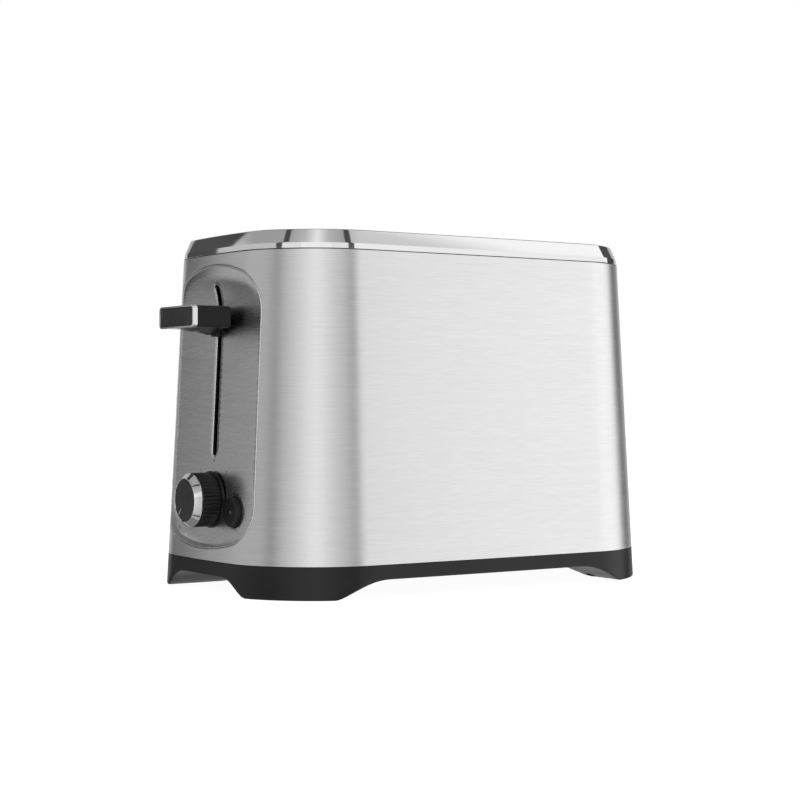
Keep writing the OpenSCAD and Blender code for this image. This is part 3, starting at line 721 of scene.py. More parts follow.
def section(columns, z, inset=0.0, at=None, sharpen=None):
    """Points of the housing's outline at height z for each column, moved inwards by inset."""
    z = np.broadcast_to(np.asarray(z, float), (len(columns),))
    a = half_len(z) - inset
    b = half_wid(z) - inset
    r = corner_r(z) - (inset if sharpen is None else sharpen)
    cx, cy, nx, ny = columns.T
    x = cx * (a - r) + nx * r
    y = cy * (b - r) + ny * r
    out_x = x * (1 + END_BOW / a * (1 - (y / b) ** 2) * (x / a) ** 2)
    out_y = y * (1 + SIDE_BOW / b * (1 - (x / a) ** 2) * (y / b) ** 2)
    height = z if at is None else np.full(len(z), float(at))
    return np.stack([out_x, out_y, height], 1)


def end_x(y, z):
    """Distance along X from the middle to the end surface, at y and z."""
    y, z = np.asarray(y, float), np.asarray(z, float)
    a, b, r = half_len(z), half_wid(z), corner_r(z)
    raw = y.copy()
    for _ in range(6):
        over = np.clip(np.abs(raw) - (b - r), 0, r)
        x = (a - r) + np.sqrt(np.maximum(r * r - over * over, 0))
        raw = y / (1 + SIDE_BOW / b * (1 - (x / a) ** 2) * (raw / b) ** 2)
    return x * (1 + END_BOW / a * (1 - (raw / b) ** 2) * (x / a) ** 2)


def crown_end(half_w, end_z, crown, corner, way, inset):
    """Half of one end of the panel outline, from the corner's side tangent to the middle."""
    half_w, end_z = half_w - inset, end_z - way * inset
    crown, corner = crown - inset, corner - inset
    c = half_w - corner
    lean = math.asin(c / (crown - corner))
    middle = end_z - way * crown
    height = middle + way * math.sqrt((crown - corner) ** 2 - c * c)
    points = []
    for k in range(25):
        t = math.pi / 2 - (math.pi / 2 - lean) * k / 24
        points.append((c + corner * math.sin(t), height + way * corner * math.cos(t)))
    for k in range(1, 17):
        t = lean * (1 - k / 16)
        points.append((crown * math.sin(t), middle + way * crown * math.cos(t)))
    return points


def panel_outline(inset):
    """Closed outline of the panel opening as (y, z) points, moved inwards by inset."""
    top = crown_end(*PANEL_TOP, 1, inset)
    low = crown_end(*PANEL_BOTTOM, -1, inset)
    right = low[::-1] + top
    left = [(-y, z) for y, z in right[-2:0:-1]]
    return np.array(right + left)


def cast(loop, centre, angles):
    """Points where rays from centre at these angles leave a closed loop round it."""
    rel = loop - centre
    found = np.zeros((len(angles), 2))
    a, b = rel, np.roll(rel, -1, axis=0)
    for i, angle in enumerate(angles):
        d = np.array([math.cos(angle), math.sin(angle)])
        cross_a = a[:, 0] * d[1] - a[:, 1] * d[0]
        cross_b = b[:, 0] * d[1] - b[:, 1] * d[0]
        share = cross_a / np.where(cross_a == cross_b, 1e-12, cross_a - cross_b)
        hit = a + (b - a) * share[:, None]
        ok = (share >= 0) & (share <= 1) & (hit @ d > 0)
        found[i] = hit[ok][0]
    return found + centre


def angles_of(loop, centre):
    rel = loop - centre
    return np.arctan2(rel[:, 1], rel[:, 0])


# ---------------------------------------------------------------- body shell


def block_loop(rows, first, last, low, high):
    """Boundary of a block of the grid, counter-clockwise seen along the row order."""
    bottom = rows[low][first:last + 1]
    right = np.array([rows[k][last] for k in range(low + 1, high + 1)])
    top = rows[high][first:last][::-1]
    left = np.array([rows[k][first] for k in range(high - 1, low, -1)])
    return np.concatenate([bottom, right, top, left])


def thickened(build, normals_in, thickness):
    """Closed wall: the surface, its copy moved along the inward normals, and rims between them."""
    count = len(build.points)
    inner = np.array(build.points) + normals_in * thickness
    made = Builder()
    made.points = [list(p) for p in build.points] + inner.tolist()
    edges = {}
    for face in build.faces:
        for a, b in zip(face, face[1:] + face[:1]):
            key = (min(a, b), max(a, b))
            edges[key] = None if key in edges else (a, b)
    made.faces = [tuple(f) for f in build.faces]
    made.faces += [tuple(i + count for i in reversed(f)) for f in build.faces]
    made.faces += [(a, b, b + count, a + count)[::-1] for a, b in filter(None, edges.values())]
    return made


def welded(build, dist=0.0005):
    """The same surface with points at the same place made one."""
    points = np.array(build.points)
    keys = np.round(points / dist).astype(np.int64)
    _, first, back = np.unique(keys, axis=0, return_index=True, return_inverse=True)
    back = back.reshape(-1)
    made = Builder()
    made.points = points[first].tolist()
    for face in build.faces:
        ring = [int(back[i]) for i in face]
        ring = [i for k, i in enumerate(ring) if i != ring[k - 1]]
        if len(ring) > 2:
            made.faces.append(tuple(ring))
    return made


def point_normals(build):
    """Unit normals at the points, from the faces round each."""
    points = np.array(build.points)
    normals = np.zeros_like(points)
    for face in build.faces:
        p = points[list(face)]
        area = np.zeros(3)
        for k in range(1, len(p) - 1):
            area += np.cross(p[k] - p[0], p[k + 1] - p[0])
        normals[list(face)] += area
    return unit(normals)


def end_hole(build, boundary, loop_at, centre, sign, insets, drops):
    """Fills between a grid boundary and a hole in an end, with rings that curl in at the hole."""
    flat = boundary[:, 1:3]
    angles = angles_of(flat, centre)
    outer = cast(loop_at(insets[0]), centre, angles)
    rows = [boundary]
    for share in (0.3, 0.6, 0.82):
        p = flat * (1 - share) + outer * share
        rows.append(np.stack([sign * end_x(p[:, 0], p[:, 1]), p[:, 0], p[:, 1]], 1))
    for inset, drop in zip(insets, drops):
        p = cast(loop_at(inset), centre, angles)
        x = sign * (end_x(p[:, 0], p[:, 1]) - drop)
        rows.append(np.stack([x, p[:, 0], p[:, 1]], 1))
    build.rows(rows)


def make_body_shell(material):
    rows_count = 60
    heights = SKIN_LOW.z + (SKIN_HIGH.z - SKIN_LOW.z) * np.arange(rows_count + 1) / rows_count
    rows = [section(COLUMNS, z) for z in heights]
    count = len(COLUMNS)
    quarter = ARC_STEPS + SIDE_STEPS
    front_first = quarter + ARC_STEPS - 8
    front_last = quarter + ARC_STEPS + END_STEPS + 8
    rear_start = 2 * (ARC_STEPS + SIDE_STEPS) + ARC_STEPS + END_STEPS + ARC_STEPS
    low, high = box("cord_gland")
    gland_centre = np.array([(low.y + high.y) / 2, (low.z + high.z) / 2])
    gland_r = 6.1
    rear = [(rear_start + k) % count for k in range(END_STEPS + 1)]
    rear_y = rows[0][rear, 1]
    near = [k for k, y in zip(rear, rear_y) if abs(y - gland_centre[0]) < 11.0]
    near_rows = [k for k, z in enumerate(heights) if abs(z - gland_centre[1]) < 12.0]
    build = Builder()
    numbers = [build.add(r) for r in rows]
    for k in range(rows_count):
        for i in range(count):
            j = (i + 1) % count
            if front_first <= i < front_last:
                continue
            if near_rows[0] <= k < near_rows[-1] and i in near and j in near:
                continue
            build.faces.append((numbers[k][i], numbers[k][j], numbers[k + 1][j], numbers[k + 1][i]))
    curl = ((-1.2, 0.0), (-0.55, 0.0), (-0.25, 0.08), (-0.07, 0.26), (0.0, 0.55))
    insets, drops = [c[0] for c in curl], [c[1] for c in curl]
    front = block_loop(rows, front_first, front_last, 0, rows_count)
    end_hole(build, front, panel_outline, np.array([0.0, PANEL_MIDDLE]), -1, insets, drops)
    order = sorted(near, key=rear.index)
    gland_block = [np.array([rows[k][i] for i in order]) for k in range(rows_count + 1)]
    boundary = block_loop(gland_block, 0, len(order) - 1, near_rows[0], near_rows[-1])
    end_hole(build, boundary, lambda inset: circle_loop(gland_centre, gland_r - inset, 64),
             gland_centre, 1, insets, drops)
    build = welded(build)
    shell = thickened(build, -point_normals(build), SKIN_T - 0.1)
    return finish_piece("steel_skin", shell.mesh("steel_skin"), material, "housing",
                        ["body_shell"])


# ---------------------------------------------------------------- control panel


def panel_floor_x(points):
    """X of the recessed plate at (y, z) points: flat, and scooped out to the rim at the top."""
    y, z = points[:, 0], points[:, 1]
    rise = np.clip(z - SCOOP_START, 0, SCOOP_R * 0.98)
    scoop = SCOOP_R - np.sqrt(SCOOP_R**2 - rise**2)
    x = panel_plane(z) - scoop
    rim = -end_x(y, z) + 0.32
    blend = 0.02 + 0.4 * np.clip((z - SCOOP_START - 5) / 15, 0, 1)
    gap = x - rim
    return rim + 0.5 * (gap + np.sqrt(gap * gap + blend))


def stadium(centre_y, low, high, radius, steps=12):
    points = []
    for k in range(steps + 1):
        turn = math.pi * k / steps
        points.append((centre_y + radius * math.cos(turn), high - radius + radius * math.sin(turn)))
    for k in range(steps + 1):
        turn = math.pi * (1 + k / steps)
        points.append((centre_y + radius * math.cos(turn), low + radius + radius * math.sin(turn)))
    sides = []
    count = 24
    top, bottom = points[:steps + 1], points[steps + 1:]
    left_top, left_low = np.array(top[-1]), np.array(bottom[0])
    right_low, right_top = np.array(bottom[-1]), np.array(top[0])
    sides += [tuple(left_top + (left_low - left_top) * k / count) for k in range(1, count)]
    back = [tuple(right_low + (right_top - right_low) * k / count) for k in range(1, count)]
    return np.array(top + sides + bottom + back)


SLOT_LOW = 74.5
SLOT_HIGH = 167.8
SLOT_HALF = 2.45
KNOB_Y = 0.0
KNOB_Z = (box("knob_body")[0].z + box("knob_body")[1].z) / 2
BUTTON_LOW, BUTTON_HIGH = box("cancel_button")
BUTTON_Y = (BUTTON_LOW.y + BUTTON_HIGH.y) / 2
BUTTON_Z = (BUTTON_LOW.z + BUTTON_HIGH.z) / 2
BUTTON_R = 8.0


def make_control_panel(materials):
    # (inset from the opening, depth behind the skin's surface)
    rim = [(0.12, 0.9), (0.14, 0.35), (0.24, 0.12), (0.4, 0.0), (0.6, 0.0), (0.78, 0.12),
           (0.88, 0.4)]
    steps = 200
    centre = np.array([0.0, PANEL_MIDDLE])
    dense = panel_outline(0.0)
    perimeter = np.linalg.norm(np.roll(dense, -1, axis=0) - dense, axis=1)
    along = np.concatenate([[0], np.cumsum(perimeter)])
    spaced = np.array([
        [np.interp(s, along, np.append(dense[:, c], dense[0, c])) for c in (0, 1)]
        for s in np.arange(steps) / steps * along[-1]
    ])
    angles = angles_of(spaced, centre)
    build = Builder()
    rows = []
    for inset, depth in rim:
        p = cast(panel_outline(inset), centre, angles)
        rows.append(np.stack([-end_x(p[:, 0], p[:, 1]) + depth, p[:, 0], p[:, 1]], 1))
    for inset, share in ((1.0, 0.3), (1.15, 0.72), (1.35, 0.95), (1.7, 1.0)):
        p = cast(panel_outline(inset), centre, angles)
        top = -end_x(p[:, 0], p[:, 1]) + 0.4
        rows.append(np.stack([top * (1 - share) + panel_floor_x(p) * share, p[:, 0], p[:, 1]], 1))
    build.rows(rows)
    outer = rows[-1][:, 1:3]
    edge = 0.35
    button, shaft = (BUTTON_Y, BUTTON_Z), (KNOB_Y, KNOB_Z)
    holes = [
        (stadium(0.0, SLOT_LOW, SLOT_HIGH, SLOT_HALF),
         stadium(0.0, SLOT_LOW - edge, SLOT_HIGH + edge, SLOT_HALF + edge)),
        (circle_loop(button, BUTTON_R + 0.35), circle_loop(button, BUTTON_R + 0.35 + edge)),
        (circle_loop(shaft, 4.5), circle_loop(shaft, 4.5 + edge)),
    ]
    flat, triangles = triangulated(outer, [wide for _, wide in holes], 2.0)
    build.patch(np.column_stack([panel_floor_x(flat), flat]), triangles)
    for tight, wide in holes:
        rows = []
        for share, depth in ((0.0, 0.0), (0.55, 0.06), (1.0, edge)):
            p = wide * (1 - share) + tight * share
            rows.append(np.column_stack([panel_floor_x(p) + depth, p]))
        build.rows(rows)
    build = welded(build)
    backwards = np.tile([1.0, 0.0, 0.0], (len(build.points), 1))
    plate = thickened(build, backwards, 1.3)
    piece = finish_piece("recessed_panel", plate.mesh("recessed_panel"), materials["panel_steel"],
                         "housing", ["control_panel"], 38)
    paint_panel_shade(piece.data, materials, [tight for tight, _ in holes])


def paint_panel_shade(mesh, materials, openings):
    """Painted shade on the panel's walls: satin grey in place of the steel on the recess wall between the
    rim and the plate, and black on the walls inside the openings.
    """
    mesh.materials.append(materials["recess_wall_shade_grey"])
    mesh.materials.append(materials["black_plastic"])
    middles = np.array([list(face.center) for face in mesh.polygons]) / MM
    flat = middles[:, 1:3]
    behind_skin = middles[:, 0] + end_x(middles[:, 1], middles[:, 2])
    # the recess wall between the rim and the plate gets painted shade in satin grey
    on_shaded_recess_wall = ~inside(flat, panel_outline(1.3)) & (behind_skin > 0.3)
    behind_floor = middles[:, 0] - panel_floor_x(flat)
    # the walls inside the openings get painted shade in black
    in_opening_shade = np.zeros(len(flat), bool)
    for loop in openings:
        in_opening_shade |= ~far_from(flat, loop, 0.12)
    in_opening_shade &= behind_floor > 0.3
    for face, bezel, hole in zip(mesh.polygons, on_shaded_recess_wall, in_opening_shade):
        if bezel:
            face.material_index = 1
        if hole:
            face.material_index = 2


# ---------------------------------------------------------------- trim, deck and base


def make_top_trim(materials):
    seam = SKIN_HIGH.z
    brk = seam + 3.5
    top = TOTAL_HEIGHT
    # (height of the section, inset, how much smaller the corner radius gets)
    profile = [
        (seam - 5, 1.15, 1.15), (seam + 0.45, 1.15, 1.15), (seam + 0.45, 0.2, 0.2),
        (seam + 0.6, 0.06, 0.06), (brk - 0.1, 0.33, 0.33), (brk + 0.1, 0.38, 0.38),
        (top - 0.75, 2.37, 1.0), (top - 0.38, 2.52, 1.1), (top - 0.12, 2.78, 1.3),
        (top, 3.2, 1.7), (top, 4.8, 4.8), (top - 0.15, 5.08, 5.08), (top - 0.5, 5.2, 5.2),
        (seam + 2, 5.2, 5.2), (seam + 1, 2.65, 2.65), (seam - 5, 2.65, 2.65),
    ]
    build = Builder()
    rows = [section(COLUMNS, z, inset, sharpen=less) for z, inset, less in profile]
    rows.append(rows[0])
    build.rows(rows)
    piece = finish_piece("trim_ring", build.mesh("trim_ring"), materials["polished_trim"],
                         "housing", ["top_trim"], 5)
    mesh = piece.data
    # painted shade: black on the seam groove's ceiling and back and on the faces below the seam
    mesh.materials.append(materials["black_plastic"])
    for face in mesh.polygons:
        level = face.normal.z < -0.9 or abs(face.normal.z) < 0.1
        if level and face.center.z < (seam + 0.5) * MM:
            face.material_index = 1


def at_height(flat, z):
    """Points at these (x, y) places and at one height."""
    return np.column_stack([flat, np.full(len(flat), z)])


def slot_loop(side, grow):
    return rounded_loop(SLOT_LEN + 2 * grow, SLOT_W + 2 * grow, SLOT_R + grow, 8,
                        (0.0, side * SLOT_Y), 12)


def make_top_plate(material):
    lip_low = box("top_plate")[0].z
    under = DECK_TOP - 1.2
    build = Builder()
    # distance from the housing's outline to the deck's edge, which the trim covers
    edge = 5.25
    outer = [(edge + 0.6, DECK_TOP), (edge + 0.15, DECK_TOP - 0.15), (edge, DECK_TOP - 0.5), (edge, under)]
    outer_rows = [section(COLUMNS, TOTAL_HEIGHT - 2, inset, z) for inset, z in outer]
    build.rows(outer_rows)
    # (growth of the slot's outline, height), from the deck over the rolled lip and back under
    lip = [
        (2.3, DECK_TOP), (1.7, DECK_TOP + 0.04), (1.25, DECK_TOP + 0.2), (1.0, DECK_TOP + 0.45),
        (0.8, TOTAL_HEIGHT - 0.16), (0.6, TOTAL_HEIGHT - 0.03), (0.4, TOTAL_HEIGHT),
        (0.2, TOTAL_HEIGHT - 0.06), (0.05, TOTAL_HEIGHT - 0.2), (0.0, TOTAL_HEIGHT - 0.45),
        (0.0, lip_low + 0.2), (0.1, lip_low), (0.8, lip_low), (0.9, lip_low + 0.2), (0.9, under),
    ]
    for side in (-1, 1):
        build.rows([at_height(slot_loop(side, grow), z) for grow, z in lip])
    for z, ring, grow in ((DECK_TOP, outer_rows[0], lip[0][0]), (under, outer_rows[-1], 0.9)):
        holes = [slot_loop(side, grow) for side in (-1, 1)]
        flat, triangles = triangulated(ring[:, :2], holes, 9.0)
        build.patch(at_height(flat, z), triangles)
    finish_piece("slot_deck", build.mesh("slot_deck"), material, "housing",
                 ["top_plate"])


def arch_rise(distance, foot, crest):
    """Height of the underside above the feet for a distance along one arch."""
    t = np.clip((foot - np.abs(distance)) / (foot - crest), 0, 1)
    eased = t * t / (t + FOOT_EASE * (1 - t))
    return (BASE_FLOOR - BASE_LOW) * (1 - (1 - eased) ** 2)


def underside(x, y):
    """Height of the base's underside: flat feet in the corners and arches between them."""
    # the arch across goes over from the front one to the rear one along the base
    rear = np.clip((np.asarray(x) + 60) / 120, 0, 1)
    foot, crest = (a + (b - a) * rear for a, b in zip(FRONT_ARCH, REAR_ARCH))
    return BASE_LOW + np.maximum(arch_rise(x, *LONG_ARCH), arch_rise(y, foot, crest))


def base_columns():
    """Housing columns, with a doubled column at each side of the crumb tray's way out."""
    count = len(COLUMNS)
    points = section(COLUMNS, BASE_FLOOR_TOP)
    columns, open_marks = [], []
    for k in range(count):
        y, y_next = points[k, 1], points[(k + 1) % count, 1]
        rear = points[k, 0] > 0 and abs(COLUMNS[k][2]) > 0.5
        is_open = rear and abs(y) < TRAY_WAY
        columns.append(COLUMNS[k])
        open_marks.append(is_open)
        crosses = rear and (abs(y) < TRAY_WAY) != (abs(y_next) < TRAY_WAY)
        if crosses:
            share = (math.copysign(TRAY_WAY, y) - y) / (y_next - y)
            middle = COLUMNS[k] * (1 - share) + COLUMNS[(k + 1) % count] * share
            middle[2:] /= np.linalg.norm(middle[2:])
            columns += [middle, middle]
            open_marks += [is_open, not is_open]
    return np.array(columns), np.array(open_marks)


def base_holes():
    """Loops of the holes through the base's floor: cooling slots, screw wells and pad seats."""
    slots = [rounded_loop(4.0, 56.0, 1.9, 4, (12.0 * i, 0.0), 6) for i in range(-5, 6)]
    ways = [(sx, sy) for sx in (-1, 1) for sy in (-1, 1)]
    wells = [circle_loop((sx * WELL_X, sy * WELL_Y), WELL_R, 32) for sx, sy in ways]
    seats = [circle_loop((sx * SEAT_X, sy * SEAT_Y), SEAT_R, 40) for sx, sy in ways]
    return slots, wells, seats


def make_base(material):
    columns, is_open = base_columns()
    top = np.where(is_open, BASE_FLOOR_TOP, SKIN_LOW.z)
    edge = section(columns, BASE_FLOOR)
    foot = underside(edge[:, 0], edge[:, 1])
    wall = 3.0
    build = Builder()

    def level(z, inset):
        return section(columns, z, inset)

    rows = [
        level(BASE_FLOOR_TOP, wall), level(top, wall), level(top, 0.35),
        level(np.where(is_open, BASE_FLOOR_TOP, SKIN_LOW.z - 0.3), 0.0),
        level(BASE_FLOOR_TOP, 0.0),
    ]
    for share in (0.34, 0.67):
        rows.append(level(BASE_FLOOR_TOP * (1 - share) + (foot + 0.9) * share, 0.0))
    # rounded lower edge
    for out, rise in ((0.0, 0.9), (0.12, 0.45), (0.45, 0.12), (0.9, 0.0)):
        rows.append(level(foot + rise, out))
    inner = level(foot, wall)
    inner[:, 2] = underside(inner[:, 0], inner[:, 1])
    rows.append(inner)
    build.rows(rows)
    slots, wells, seats = base_holes()
    loop_low = inner[:, :2]
    keep = np.linalg.norm(np.roll(loop_low, -1, axis=0) - loop_low, axis=1) > 1e-4
    flat, triangles = triangulated(loop_low[keep], slots + wells + seats, 4.0)
    build.patch(np.column_stack([flat, underside(flat[:, 0], flat[:, 1])]), triangles)
    loop_top = rows[0][:, :2]
    flat, triangles = triangulated(loop_top[keep], slots, 9.0)
    build.patch(at_height(flat, BASE_FLOOR_TOP), triangles)

    def well_wall(loop, z):
        low_row = np.column_stack([loop, underside(loop[:, 0], loop[:, 1])])
        return build.rows([low_row, at_height(loop, z)])[-1]

    for loop in slots:
        well_wall(loop, BASE_FLOOR_TOP)
    for loop in wells:
        build.cap(well_wall(loop, 9.0))
    for loop in seats:
        build.cap(well_wall(loop, 2.7))
    finish_piece("base_skirt", build.mesh("base_skirt"), material, "housing",
                 ["base_housing"], 35)


# ---------------------------------------------------------------- lever, knob and button


def section_loop(low, high, radius, inset, side_steps=4):
    width, height = high.y - low.y - 2 * inset, high.z - low.z - 2 * inset
    centre = ((low.y + high.y) / 2, (low.z + high.z) / 2)
    return rounded_loop(width, height, max(radius - inset, 0.25), 8, centre, side_steps)


def x_sweep(profile, low, high, radius):
    """Closed solid along X: (x, inset) pairs over a rounded section between two corners."""
    rows = []
    for x, inset in profile:
        loop = section_loop(low, high, radius, inset)
        rows.append(np.column_stack([np.full(len(loop), x), loop]))
    return Builder().solid(rows)


TRIM_LOW, TRIM_HIGH = box("lever_trim")
HANDLE_LOW, HANDLE_HIGH = box("lever_handle")
HANDLE_BACK = -126.1
LEVER_R = 2.4


def make_lever(materials):
    front, seam = TRIM_LOW.x, TRIM_HIGH.x
    frame_rows = [
        (seam, 1.2), (seam, 0.12), (seam - 0.12, 0.0), (front + 0.3, 0.0), (front + 0.09, 0.09),
        (front, 0.3), (front, 0.85), (front + 0.1, 1.0), (front + 0.3, 1.05), (front + 1.6, 1.05),
    ]
    trim = x_sweep(frame_rows, TRIM_LOW, TRIM_HIGH, LEVER_R)
    finish_piece("lever_frame", trim.mesh("lever_frame"), materials["polished_trim"], "carriage",
                 ["lever_trim"], 14)
    inlay_rows = [
        (front + 1.55, 1.2), (front + 0.5, 1.12), (front + 0.3, 1.2), (front + 0.2, 1.5),
    ]
    inlay = x_sweep(inlay_rows, TRIM_LOW, TRIM_HIGH, LEVER_R)
    finish_piece("lever_badge_plate", inlay.mesh("lever_badge_plate"), materials["inlay"], "carriage",
                 ["lever_inlay"], 30)
    grip_low = Vector((0, TRIM_LOW.y + 0.15, TRIM_LOW.z + 0.15))
    grip_high = Vector((0, TRIM_HIGH.y - 0.15, TRIM_HIGH.z - 0.15))
    grip_rows = [
        (seam, 0.35), (seam + 0.3, 0.08), (seam + 0.8, 0.0), (HANDLE_BACK - 0.9, 0.0),
        (HANDLE_BACK - 0.45, 0.1), (HANDLE_BACK - 0.12, 0.4), (HANDLE_BACK, 0.9),
    ]
    grip = x_sweep(grip_rows, grip_low, grip_high, LEVER_R - 0.15)
    grip.merge(lever_neck(seam + 1))
    grip.merge(lever_tongue())
    finish_piece("lever_grip", grip.mesh("lever_grip", 0.00001), materials["black_plastic"],
                 "carriage", ["lever_handle"], 20)


def lever_neck(start):
    """Wedge under the grip that narrows down to the slot."""
    top, tip = TRIM_LOW.z + 1, HANDLE_LOW.z + 1
    back = HANDLE_BACK
    # (height, front, half width)
    levels = [(top, start + 1.6, 11.0), (TRIM_LOW.z + 0.1, start + 1.8, 10.4),
              (tip + 0.35, back - 5.2, 1.5), (tip, back - 4.8, 1.1)]
    rows = []
    for z, front, half in levels:
        ease = min(1.0, half * 0.3)
        rows.append([
            (front + ease, -half, z), (back - 0.3, -half, z), (back, -half + 0.3, z),
            (back, half - 0.3, z), (back - 0.3, half, z), (front + ease, half, z),
            (front, half - ease, z), (front, -half + ease, z),
        ])
    return Builder().solid(rows)


def lever_tongue():
    """Flat blade that runs in the lever slot."""
    low, high = HANDLE_LOW, HANDLE_HIGH
    bottom, top = low.z, low.z + 12
    build = Builder()
    rows = []
    for x, ease in ((HANDLE_BACK - 1, 0.0), (high.x - 0.3, 0.0), (high.x, 0.3)):
        rows.append([
            (x, -1.5 + ease, bottom + ease), (x, 1.5 - ease, bottom + ease),
            (x, 1.5 - ease, top - ease), (x, -1.5 + ease, top - ease),
        ])
    build.solid([np.array(r) for r in rows])
    return build


def knob_row(x, radius, turn):
    """Points round the knob's axis at these angles."""
    y, z = KNOB_Y + radius * np.cos(turn), KNOB_Z + radius * np.sin(turn)
    return np.stack([np.full(len(turn), x), y, z], 1)


def fluted_rows(x_radius, flutes, steps_each, depth):
    """Rows round the knob: each (x, radius, share of the flute depth)."""
    count = flutes * steps_each
    turn = np.arange(count) / count * 2 * math.pi
    phase = (np.arange(count) % steps_each) / steps_each
    dip = np.clip(np.cos(phase * 2 * math.pi), -0.2, 1.0)
    dip = (dip + 0.2) / 1.2
    rows = []
    for x, radius, share in x_radius:
        rows.append(knob_row(x, radius - depth * share * dip, turn))
    return rows


def make_knob(materials):
    low, high = box("knob_body")
    radius = (high.z - low.z) / 2
    front, back = low.x, high.x
    grip = Builder().solid(fluted_rows([
        (back, radius - 0.9, 0.0), (back, radius - 0.3, 0.5), (back - 0.4, radius, 1.0),
        (front + 0.5, radius, 1.0), (front + 0.12, radius - 0.15, 0.6), (front, radius - 0.5, 0.0),
    ], 40, 8, 0.55))
    finish_piece("knob_grip", grip.mesh("knob_grip"), materials["black_plastic"], "knob",
                 ["knob_body"], 40)
    skirt_low, skirt_high = box("knob_skirt")
    skirt_r = (skirt_high.z - skirt_low.z) / 2
    skirt = lathe([
        (skirt_high.x, 3.0), (skirt_high.x, skirt_r - 0.3), (skirt_high.x - 0.3, skirt_r),
        (skirt_low.x + 0.35, skirt_r), (skirt_low.x + 0.1, skirt_r - 0.12), (skirt_low.x, skirt_r - 0.4),
        (skirt_low.x, 3.0),
    ], KNOB_Y, KNOB_Z)
    finish_piece("knob_base_disc", skirt.mesh("knob_base_disc"), materials["black_plastic"], "knob",
                 ["knob_skirt"], 30)
    ring_low, ring_high = box("knob_ring")
    face, outer = ring_low.x, (ring_high.z - ring_low.z) / 2
    inner = 11.6
    ring = Builder()
    turn = np.arange(128) / 128 * 2 * math.pi
    profile = [
        (ring_high.x, inner - 0.5), (ring_high.x, outer - 0.1), (ring_high.x - 0.25, outer),
        (ring_high.x - 0.5, outer - 0.02), (face + 0.3, inner + 0.42), (face + 0.1, inner + 0.3),
        (face + 0.02, inner + 0.12), (face + 0.15, inner), (face + 0.6, inner - 0.5),
    ]
    rows = [knob_row(x, r, turn) for x, r in profile]
    rows.append(rows[0])
    ring.rows(rows)
    finish_piece("knob_bright_ring", ring.mesh("knob_bright_ring"), materials["polished_trim"], "knob",
                 ["knob_ring"], 20)
    cap = lathe([
        (ring_high.x, inner - 1.0), (face + 0.6, inner - 0.9), (face + 0.32, inner - 0.35),
        (face + 0.2, inner - 0.15), (face + 0.14, inner - 0.35), (face + 0.1, inner - 0.8),
        (face + 0.1, 4.0),
    ], KNOB_Y, KNOB_Z, 128)
    finish_piece("knob_dark_face", cap.mesh("knob_dark_face"), materials["knob_face"], "knob",
                 ["knob_cap"], 30)
    make_pointer(materials, face + 0.1)


def make_pointer(materials, face):
    """Short raised line near the rim of the knob's face."""
    turn = math.radians(140)
    outwards = np.array([math.sin(turn), math.cos(turn)])
    across = np.array([outwards[1], -outwards[0]])
    rows = []
    for x, ease in ((face + 0.05, 0.0), (face - 0.06, 0.0), (face - 0.09, 0.06)):
        corners = [(6.4 + ease, -0.36 + ease), (10.6 - ease, -0.36 + ease),
                   (10.6 - ease, 0.36 - ease), (6.4 + ease, 0.36 - ease)]
        rows.append([
            (x, KNOB_Y + outwards[0] * u + across[0] * v, KNOB_Z + outwards[1] * u + across[1] * v)
            for u, v in corners
        ])
    line = Builder().solid(rows)
    finish_piece("knob_pointer", line.mesh("knob_pointer"), materials["pointer_ink"], "knob")


def make_button(materials):
    low, high = BUTTON_LOW, BUTTON_HIGH
    front = low.x
    back = panel_plane(BUTTON_Z) + 3
    r = BUTTON_R
    button = lathe([
        (high.x, 2.0), (back + 1.2, 2.0), (back + 1.2, r + 1.5), (back - 0.4, r + 1.5), (back - 0.4, r),
        (front + 0.8, r), (front + 0.38, r - 0.1), (front + 0.12, r - 0.4), (front + 0.02, r - 0.9),
        (front + 0.12, r - 2.5), (front + 0.3, r - 4.2), (front + 0.36, 1.4), (front + 0.3, 1.0),
        (front + 0.12, 0.9), (front + 0.1, 0.6),
    ], BUTTON_Y, BUTTON_Z, 72)
    finish_piece("stop_button", button.mesh("stop_button"), materials["black_plastic"], "button",
                 ["cancel_button"], 40)
    dot = lathe([(front + 0.4, 0.5), (front + 0.4, 0.95), (front + 0.3, 1.05), (front + 0.1, 0.95),
                 (front + 0.02, 0.7), (front, 0.3)], BUTTON_Y, BUTTON_Z, 32)
    finish_piece("stop_button_dot", dot.mesh("stop_button_dot"), materials["print_ink"], "button",
                 (), 30)


def make_marks(materials):
    """Generic numbers 1 to 7 printed round the knob."""
    radius, height, thickness = 21.0, 2.9, 0.05
    for k in range(7):
        lean = math.radians(-135 + 45 * k)
        curve = bpy.data.curves.new(f"dial_number_{k + 1}", "FONT")
        curve.body = str(k + 1)
        curve.align_x = "CENTER"
        curve.align_y = "CENTER"
        curve.size = height * MM
        curve.extrude = thickness * MM / 2
        holder = link_object(f"dial_text_{k + 1}", curve)
        bpy.context.view_layer.update()
        mesh = bpy.data.meshes.new_from_object(holder)
        bpy.data.objects.remove(holder)
        centre = np.array([KNOB_Y - radius * math.sin(lean), KNOB_Z + radius * math.cos(lean)])
        # seen from outside, the control end has +Y on the left
        for v in mesh.vertices:
            y, z = centre[0] - v.co.x / MM, centre[1] + v.co.y / MM
            x = panel_plane(z) - 0.03 - v.co.z / MM
            v.co = Vector((x, y, z)) * MM
        finish_piece(f"dial_number_{k + 1}", mesh, materials["print_ink"], "housing")


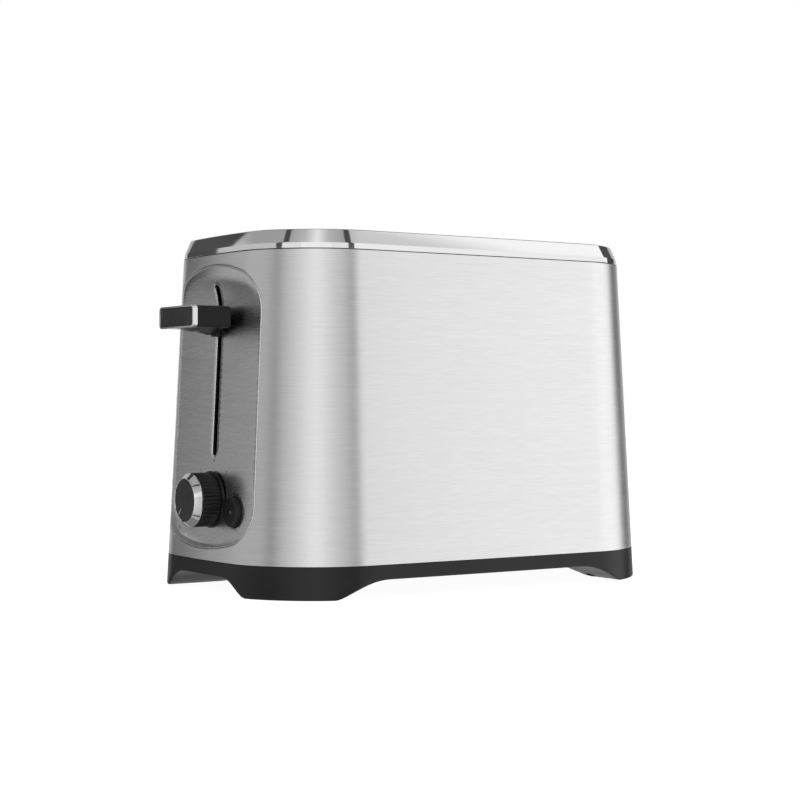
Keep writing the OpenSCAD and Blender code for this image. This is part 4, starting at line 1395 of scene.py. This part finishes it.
def make_spring(material):
    """Extension spring that lifts the carriage: close coils."""
    low, high = box("carriage_spring")
    centre = ((low.x + high.x) / 2, (low.y + high.y) / 2)
    wire = 0.5
    coil = (high.x - low.x) / 2 - wire
    turns, steps, sides = 22, 20, 8
    bottom, top = low.z + wire, high.z - wire
    count = turns * steps
    t = np.arange(count + 1) / steps * 2 * math.pi
    path = np.stack([centre[0] + coil * np.cos(t), centre[1] + coil * np.sin(t),
                     bottom + (top - bottom) * np.arange(count + 1) / count], 1)
    forward = unit(np.gradient(path, axis=0))
    across = unit(np.cross(forward, [0.0, 0.0, 1.0]))
    up = np.cross(across, forward)
    rows = []
    for k in range(count + 1):
        turn = np.arange(sides) / sides * 2 * math.pi
        rows.append(path[k] + wire * (np.cos(turn)[:, None] * up[k] + np.sin(turn)[:, None] * across[k]))
    mesh = Builder().solid(rows).mesh("lift_spring", 0.00001)
    mesh.shade_smooth()
    mesh.materials.append(material)
    piece = link_object("lift_spring", mesh)
    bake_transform(piece)
    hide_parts("carriage_spring")


# ---------------------------------------------------------------- carried-over CAD nodes

NODE_LOOKS = {
    "sheet_steel": [
        "front_chassis_plate", "rear_chassis_plate", "reflector_left", "reflector_right",
        "neutral_busbar", "live_busbar", "bread_rack_left", "bread_rack_right", "carriage_bracket",
        "latch_plate", "lever_arm", "timer_shaft", "board_posts", "board_screws", "crumb_tray",
        "base_screws", "magnet_core", "thermal_fuse",
    ],
    "mica": ["mica_board_left", "mica_board_center", "mica_board_right"],
    "ribbon": ["heating_wire_left", "heating_wire_center", "heating_wire_right"],
    "wire_chrome": [
        "bread_guide_left_outer", "bread_guide_left_inner", "bread_guide_right_inner",
        "bread_guide_right_outer", "guide_rod",
    ],
    "black_plastic": ["carriage_bush", "timer_control", "stop_switch", "tray_handle"],
    "copper": ["magnet_coil", "power_contacts"],
    "circuit_board": ["control_board"],
    "terminal_plastic": ["terminal_block"],
    "rubber": ["foot_pads", "cord_gland"],
    "lead_sleeve": ["live_lead", "neutral_lead", "switched_lead"],
}


def dress_nodes(materials):
    for look, nodes in NODE_LOOKS.items():
        for name in nodes:
            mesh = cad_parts[name].data
            mesh.materials.clear()
            mesh.materials.append(materials[look])


# ---------------------------------------------------------------- the scene

make_camera()
make_studio()
materials = make_materials()
make_body_shell(materials["brushed_skin"])
make_control_panel(materials)
make_top_trim(materials)
make_top_plate(materials["deck_steel"])
make_base(materials["black_plastic"])
make_lever(materials)
make_knob(materials)
make_button(materials)
make_marks(materials)
make_spring(materials["wire_chrome"])
dress_nodes(materials)
